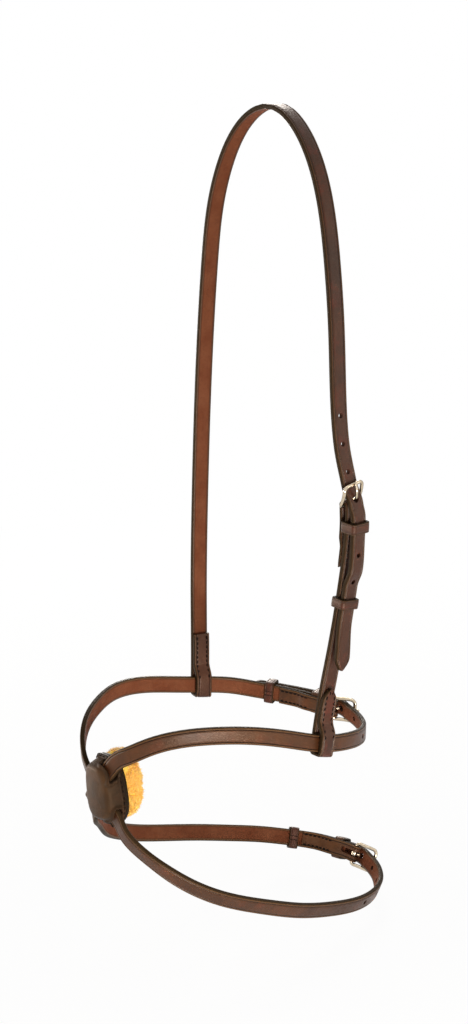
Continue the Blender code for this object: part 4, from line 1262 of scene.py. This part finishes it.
def filleted(corners, radii):
    """Profile through corners, each rounded by its radius, in even steps."""
    corners = [np.array(c, float) for c in corners]
    path = [corners[0]]
    for before, here, after, radius in zip(corners, corners[1:], corners[2:], radii):
        into, out = unit(here - before), unit(after - here)
        back = radius * math.tan(math.acos(max(-1.0, min(1.0, float(into @ out)))) / 2)
        first, last = here - into * back, here + out * back
        for f in np.linspace(0, 1, 9):
            path.append(here * 2 * f * (1 - f) + first * (1 - f) ** 2 + last * f ** 2)
    return even_points(np.array(path + [corners[-1]]), 0.5)


def patch_shell(outer, inner, sides):
    """Closed oval piece on the nose cylinder from its profiles of inset and radius."""
    angle = np.linspace(0, 2 * math.pi, sides, endpoint=False)
    rings = np.concatenate([outer, inner[::-1]])
    verts, mask = [], []
    for inset, r in rings:
        a, z = oval(angle, PATCH_HALF_W - inset, PATCH_HALF_H - inset, OVAL)
        verts += [patch_point(*leaned(x, y), r) for x, y in zip(a, z)]
        rim = float(np.clip((0.9 - inset) / 0.6, 0, 1))
        # Painted shade: the wall takes part of the dark edge tone through the edge mask; the rim
        # takes the real edge tone.
        wall = WALL_SHADE * float(np.clip((DOME_INSET + 1.5 - inset) / 3.0, 0, 1))
        mask += [(max(rim, wall), 0.0)] * sides
    top = len(verts)
    verts += [patch_point(*leaned(0, 0), outer[0][1]), patch_point(*leaned(0, 0), inner[0][1])]
    mask += [(0.0, 0.0)] * 2
    return solid(verts, shell_faces(len(rings), sides, 0, top, top + 1),
                 {"mask": mask, "line": [(0.0, 0.0)] * len(verts)})


def cover_profiles():
    """Flat top, steep wall and sewn flange, from the middle out to the rim."""
    top, rim = DOME_R + SHEET_T, RIM_R + SHEET_T
    outer = filleted([(PATCH_MIDDLE, top), (DOME_INSET, top), (WALL_INSET, rim), (0, rim),
                      (0, (rim + RIM_R) / 2)], (5.0, 1.2, 0.9))
    inner = filleted([(PATCH_MIDDLE, DOME_R), (DOME_INSET + WALL_SHIFT, DOME_R),
                      (WALL_INSET + WALL_SHIFT, RIM_R), (0, RIM_R), (0, (rim + RIM_R) / 2 - 0.1)],
                     (2.6, 0.6, 0.5))
    return outer, inner


def backing_profiles():
    outside = BACKING_R + BACKING_T
    half = (outside + BACKING_R) / 2
    return [filleted([(PATCH_MIDDLE, r), (0, r), (0, end)], (0.9,))
            for r, end in ((outside, half), (BACKING_R, half - 0.1))]


def slit_mesh(line):
    """The room that a strap needs on its way through the cover."""
    ribbon = Ribbon()
    ribbon.run(line, 0, line.length, width=lambda s: STRAP_W + 2 * SLIT_SIDE,
               thick=([0, 1], [STRAP_T + 2 * STRAP_PLAY] * 2))
    rings = []
    for p, w, n, wide, thick in zip(*strap_rows(ribbon)):
        rings.append([p + x * w + z * n for x, z, _, _ in
                      rounded(wide / 2, -thick / 2, thick / 2, SLIT_CORNER, 4)])
    return loft(rings)


def tree_of(mesh):
    return BVHTree.FromPolygons([v.co.copy() for v in mesh.vertices],
                                [tuple(p.vertices) for p in mesh.polygons])


slits = [slit_mesh(a_bridge[0]), slit_mesh(b_bridge[0])]
trees = [tree_of(mesh) for mesh in slits]
cover = new_object("patch_cover_leather", patch_shell(*cover_profiles(), COVER_SIDES),
                   [PATCH, HOLE], "nose_straps", ["patch_cover"])
whole = tree_of(cover.data)
faces_before = len(cover.data.polygons)
bored(cover, slits[::-1])
if len(cover.data.polygons) < COVER_KEPT * faces_before:
    raise ValueError("cutting the slits destroyed the patch cover")


def outer_normal(place):
    """Normal of the whole cover nearest to a place, or None where that is its inner side."""
    normal = whole.find_nearest(place)[1]
    spot = place / MM
    return normal if normal.x * (spot.x - PATCH_AXIS_X) + normal.y * spot.y > 0 else None


def slit_mouths(mesh):
    """Tree of the outer corners of the slits' walls."""
    walls = {i for p in mesh.polygons if p.material_index == 1 for i in p.vertices}
    corners = [mesh.vertices[i].co.copy() for i in walls]
    corners = [c for c in corners if outer_normal(c) is not None]
    if not corners:
        raise ValueError("no slit opens through the patch cover")
    tree = KDTree(len(corners))
    for i, corner in enumerate(corners):
        tree.insert(corner, i)
    tree.balance()
    return tree


def raise_lips(mesh):
    """Roll the leather up round each slit, short of its strap, and paint shade along the slit's
    edge.
    """
    mouths = slit_mouths(mesh)
    shade = np.zeros(len(mesh.vertices))
    for v in mesh.vertices:
        gap = mouths.find(v.co)[2] / MM
        # Painted shade round each slit's mouth, carried by the line mask.
        shade[v.index] = math.exp(-(gap / LIP_SHADE) ** 2)
        normal = outer_normal(v.co)
        if normal is None or gap > LIP_AWAY + 3 * LIP_WIDTH:
            continue
        hits = [t.ray_cast(v.co + normal * LIP_START * MM, normal)[3] for t in trees]
        room = min([h for h in hits if h is not None], default=1.0) / MM
        lip = LIP_RISE * math.exp(-((gap - LIP_AWAY) / LIP_WIDTH) ** 2)
        lip *= 1 - math.exp(-(gap / LIP_EDGE) ** 2)
        v.co += normal * min(lip, max(0.0, room - LIP_START)) * MM
    layer = mesh.uv_layers["line"].data
    for loop in mesh.loops:
        layer[loop.index].uv = (shade[loop.vertex_index], 0.0)
    mesh.update()


def rim_stitches():
    """Stitches round the flange, left out where a strap lies on it."""
    angle = np.linspace(0, 2 * math.pi, RIM_STEPS, endpoint=False)
    a, z = oval(angle, PATCH_HALF_W - RIM_SEAM_INSET, PATCH_HALF_H - RIM_SEAM_INSET, OVAL)
    ring = np.array([patch_point(*leaned(x, y), RIM_R + SHEET_T + 0.05) for x, y in zip(a, z)])
    run = np.linalg.norm(np.roll(ring, -1, 0) - ring, axis=1)
    places = []
    travelled = 0.0
    for i, point in enumerate(ring):
        travelled += run[i]
        if travelled < STITCH_PITCH:
            continue
        travelled = 0.0
        if min(t.find_nearest(Vector(point * MM))[3] for t in trees) < RIM_SEAM_CLEAR * MM:
            continue
        along = ring[(i + 1) % RIM_STEPS] - ring[i - 1]
        places.append((point, along, np.array([point[0] - PATCH_AXIS_X, point[1], 0.0])))
    stitch_row("patch_rim_stitches", places, "nose_straps")


raise_lips(cover.data)
new_object("patch_backing_leather", patch_shell(*backing_profiles(), BACKING_SIDES), [PATCH],
           "nose_straps", ["patch_backing"])
rim_stitches()


# Fleece

def fleece_body(centres):
    """Lumpy body a pile's depth inside the pad's solid; gives its mesh and points."""
    lift = FLEECE_LIFT + PILE_LIFT
    angle = np.linspace(0, 2 * math.pi, FLEECE_SIDES, endpoint=False)
    a, z = oval(angle, FLEECE_HALF_W - PILE_DEEP, FLEECE_HALF_H - PILE_DEEP, PILE_OVAL)
    knots = range(len(FLEECE_ROUTE))
    run = np.linspace(0, knots[-1], FLEECE_ROWS)[1:-1]
    grow, depth = (np.interp(run, knots, values) for values in zip(*FLEECE_ROUTE))
    verts = [patch_point(*leaned(0, lift), FLEECE_FRONT_R)]
    for g, d in zip(grow, depth):
        for x, y in zip(a, z):
            front = patch_point(*leaned(x * g, y * g + lift), FLEECE_FRONT_R)
            verts.append((front[0] + (FLEECE_BACK_X - front[0]) * d, front[1], front[2]))
    verts.append((FLEECE_BACK_X + 0.8, 0, PATCH_Z + PATCH_RISE + lift))
    faces = shell_faces(FLEECE_ROWS - 2, FLEECE_SIDES, 1, 0, len(verts) - 1)
    # The body's mask height of FLEECE_SHADE gives it part of the painted root shade.
    mesh = solid(verts, faces, {"mask": [(FLEECE_SHADE, 0.0)] * len(verts)})
    mesh.update()
    points = np.array([v.co for v in mesh.vertices]) / MM
    normal = np.array([v.normal for v in mesh.vertices])
    gap = np.sqrt(((points[:, None, :] - centres[None, :, :]) ** 2).sum(2))
    nearest = np.sort(gap, axis=1)[:, :2]
    lump = np.clip(nearest[:, 1] - nearest[:, 0], 0, LUMP_WIDTH) / LUMP_WIDTH
    free = np.clip((points[:, 0] - LUMPS_FROM_X) / LUMPS_EASE, 0, 1)
    points += normal * ((LUMP_LOW + LUMP_RISE * lump) * free)[:, None]
    mesh.vertices.foreach_set("co", (points * MM).ravel())
    mesh.update()
    body = new_object("fleece_body", mesh, [FLEECE], "nose_straps", ["fleece_pad"])
    return mesh, points


def fleece():
    """The pad's body, and tufts on it that reach the surface of the solid."""
    rng = np.random.default_rng(FLEECE_SEED)
    centres = rng.uniform(*CLUMP_BOX, (CLUMPS, 3))
    mesh, points = fleece_body(centres)
    normal = np.array([v.normal for v in mesh.vertices])
    mesh.calc_loop_triangles()
    tris = np.array([t.vertices for t in mesh.loop_triangles])
    corner = points[tris]
    area = np.linalg.norm(np.cross(corner[:, 1] - corner[:, 0], corner[:, 2] - corner[:, 0]),
                          axis=1)
    facing = normal[tris].mean(1)
    area[(corner.mean(1)[:, 0] < COVERED_X) & (facing[:, 0] < -0.3)] = 0
    pick = rng.choice(len(tris), TUFTS, p=area / area.sum())
    u, v = rng.random(TUFTS), rng.random(TUFTS)
    flip = u + v > 1
    u[flip], v[flip] = 1 - u[flip], 1 - v[flip]
    base = (corner[pick, 0] + u[:, None] * (corner[pick, 1] - corner[pick, 0])
            + v[:, None] * (corner[pick, 2] - corner[pick, 0]))
    up = unit(facing[pick])
    clump = centres[np.argmin(((base[:, None, :] - centres[None]) ** 2).sum(2), axis=1)]
    lean = unit(clump - base + 1e-6) * 0.55
    lean[:, 2] -= 0.25
    curl = unit(rng.normal(size=(TUFTS, 3)))
    length = rng.uniform(0.7, 1.25, TUFTS) * PILE_DEEP
    verts, faces, mask = [], [], []
    for i in range(TUFTS):
        direction = unit(up[i] + 0.55 * lean[i] + 0.35 * curl[i])
        bend = unit(np.cross(direction, curl[i])) * rng.uniform(0.25, 0.8)
        side = unit(np.cross(direction, curl[i] + 0.01))
        other = np.cross(direction, side)
        faces += ring_faces(TUFT_STEPS, 3, len(verts), caps=-1)
        for f in np.arange(TUFT_STEPS) / (TUFT_STEPS - 1):
            centre = (base[i] - TUFT_ROOT * direction + direction * length[i] * f
                      + bend * length[i] * (f * f * 0.8))
            r = TUFT_R * (1 - TUFT_TAPER * f)
            for q in range(3):
                angle = 2 * math.pi * q / 3 + TUFT_TWIST * f
                verts.append(centre + r * (math.cos(angle) * side + math.sin(angle) * other))
                mask.append((f, 0.0))
    pile = mesh_from(verts, faces, {"mask": mask})
    new_object("fleece_pile", pile, [FLEECE], "nose_straps", ())
    pile.shade_flat()


fleece()


# Stage

def camera():
    turn, rise = math.radians(CAMERA_TURN), math.radians(CAMERA_RISE)
    back = Vector((math.sin(turn) * math.cos(rise), -math.cos(turn) * math.cos(rise),
                   math.sin(rise)))
    right = Vector((math.cos(turn), math.sin(turn), 0))
    data = bpy.data.cameras.new("camera")
    data.lens = CAMERA_LENS
    data.sensor_width = 36
    data.clip_end = 50
    obj = placed("camera", data)
    obj.matrix_world = axes_matrix(right, back.cross(right), back,
                                   Vector(CAMERA_TARGET) + CAMERA_FAR * back)
    bpy.context.scene.camera = obj


def lamp(name, place, size, power, colour=(1, 1, 1)):
    data = bpy.data.lights.new(name, "AREA")
    data.shape = "RECTANGLE"
    data.size, data.size_y = size
    data.energy = power
    data.color = colour
    obj = placed(name, data)
    obj.location = place
    obj.visible_camera = False
    aim = Vector((-0.03, 0, -0.35)) - Vector(place)
    obj.rotation_euler = aim.to_track_quat("-Z", "Y").to_euler()


def seen_directly(m):
    """1 on camera, glossy and transmission rays, else 0."""
    path = m.new("LightPath")
    total = path.outputs["Is Camera Ray"]
    for other in ("Is Glossy Ray", "Is Transmission Ray"):
        total = m.math("ADD", total, path.outputs[other], clamp=True)
    return total


def stage_floor():
    """Pale floor that is near white to the camera and in reflections."""
    mesh = bpy.data.meshes.new("floor")
    s = FLOOR_HALF
    mesh.from_pydata([(-s, -s, FLOOR_Z), (s, -s, FLOOR_Z), (s, s, FLOOR_Z), (-s, s, FLOOR_Z)],
                     [], [(0, 1, 2, 3)])
    floor = placed("floor", mesh)
    m = Nodes(bpy.data.materials.new("pale_floor"))
    m.set(m.shader, {"Base Color": (0.9, 0.9, 0.9, 1), "Roughness": 0.9,
                     "Specular IOR Level": 0.0})
    glow = m.new("Emission", {"Color": (1, 1, 1, 1), "Strength": 1.0})
    away = m.new("VectorMath", {0: m.place()}, operation="LENGTH")
    white = m.range(away.outputs["Value"], 0.5, 1.4, FLOOR_GLOW, 1.0)
    share = m.math("MULTIPLY", seen_directly(m), white)
    blend = m.new("MixShader", {0: share, 1: m.shader.outputs[0], 2: glow.outputs[0]})
    m.set(m.nodes["Material Output"], {"Surface": blend.outputs[0]})
    mesh.materials.append(m.owner)


def studio():
    """Surroundings that light the part dimly and look white themselves."""
    world = bpy.data.worlds.new("studio")
    bpy.context.scene.world = world
    m = Nodes(world)
    back = m.nodes["Background"]
    m.set(back, {"Color": (1.0, 0.98, 0.96, 1), "Strength": 0.33})
    white = m.new("Background", {"Color": (1, 1, 1, 1), "Strength": 1.0})
    blend = m.new("MixShader", {0: seen_directly(m), 1: back.outputs[0], 2: white.outputs[0]})
    m.set(m.nodes["World Output"], {"Surface": blend.outputs[0]})


camera()
stage_floor()
studio()
lamp("left", (-1.05, 1.40, -0.40), (0.7, 0.5), 16, (1.0, 0.93, 0.84))
lamp("right", (1.20, -1.75, -0.05), (0.7, 1.1), 5, (1.0, 0.97, 0.92))
lamp("low_strip", (-0.28, -0.63, -0.61), (0.36, 0.11), 4.8, (1.0, 0.93, 0.91))
lamp("back", (1.10, 1.50, 0.75), (0.8, 1.1), 20, (1.0, 0.96, 0.91))
lamp("low_back", (0.95, 1.60, -0.40), (0.6, 0.4), 10, (1.0, 0.93, 0.84))
lamp("top", (-0.3, -0.4, 1.5), (1.4, 1.4), 5)
bpy.context.scene.view_settings.view_transform = "Standard"
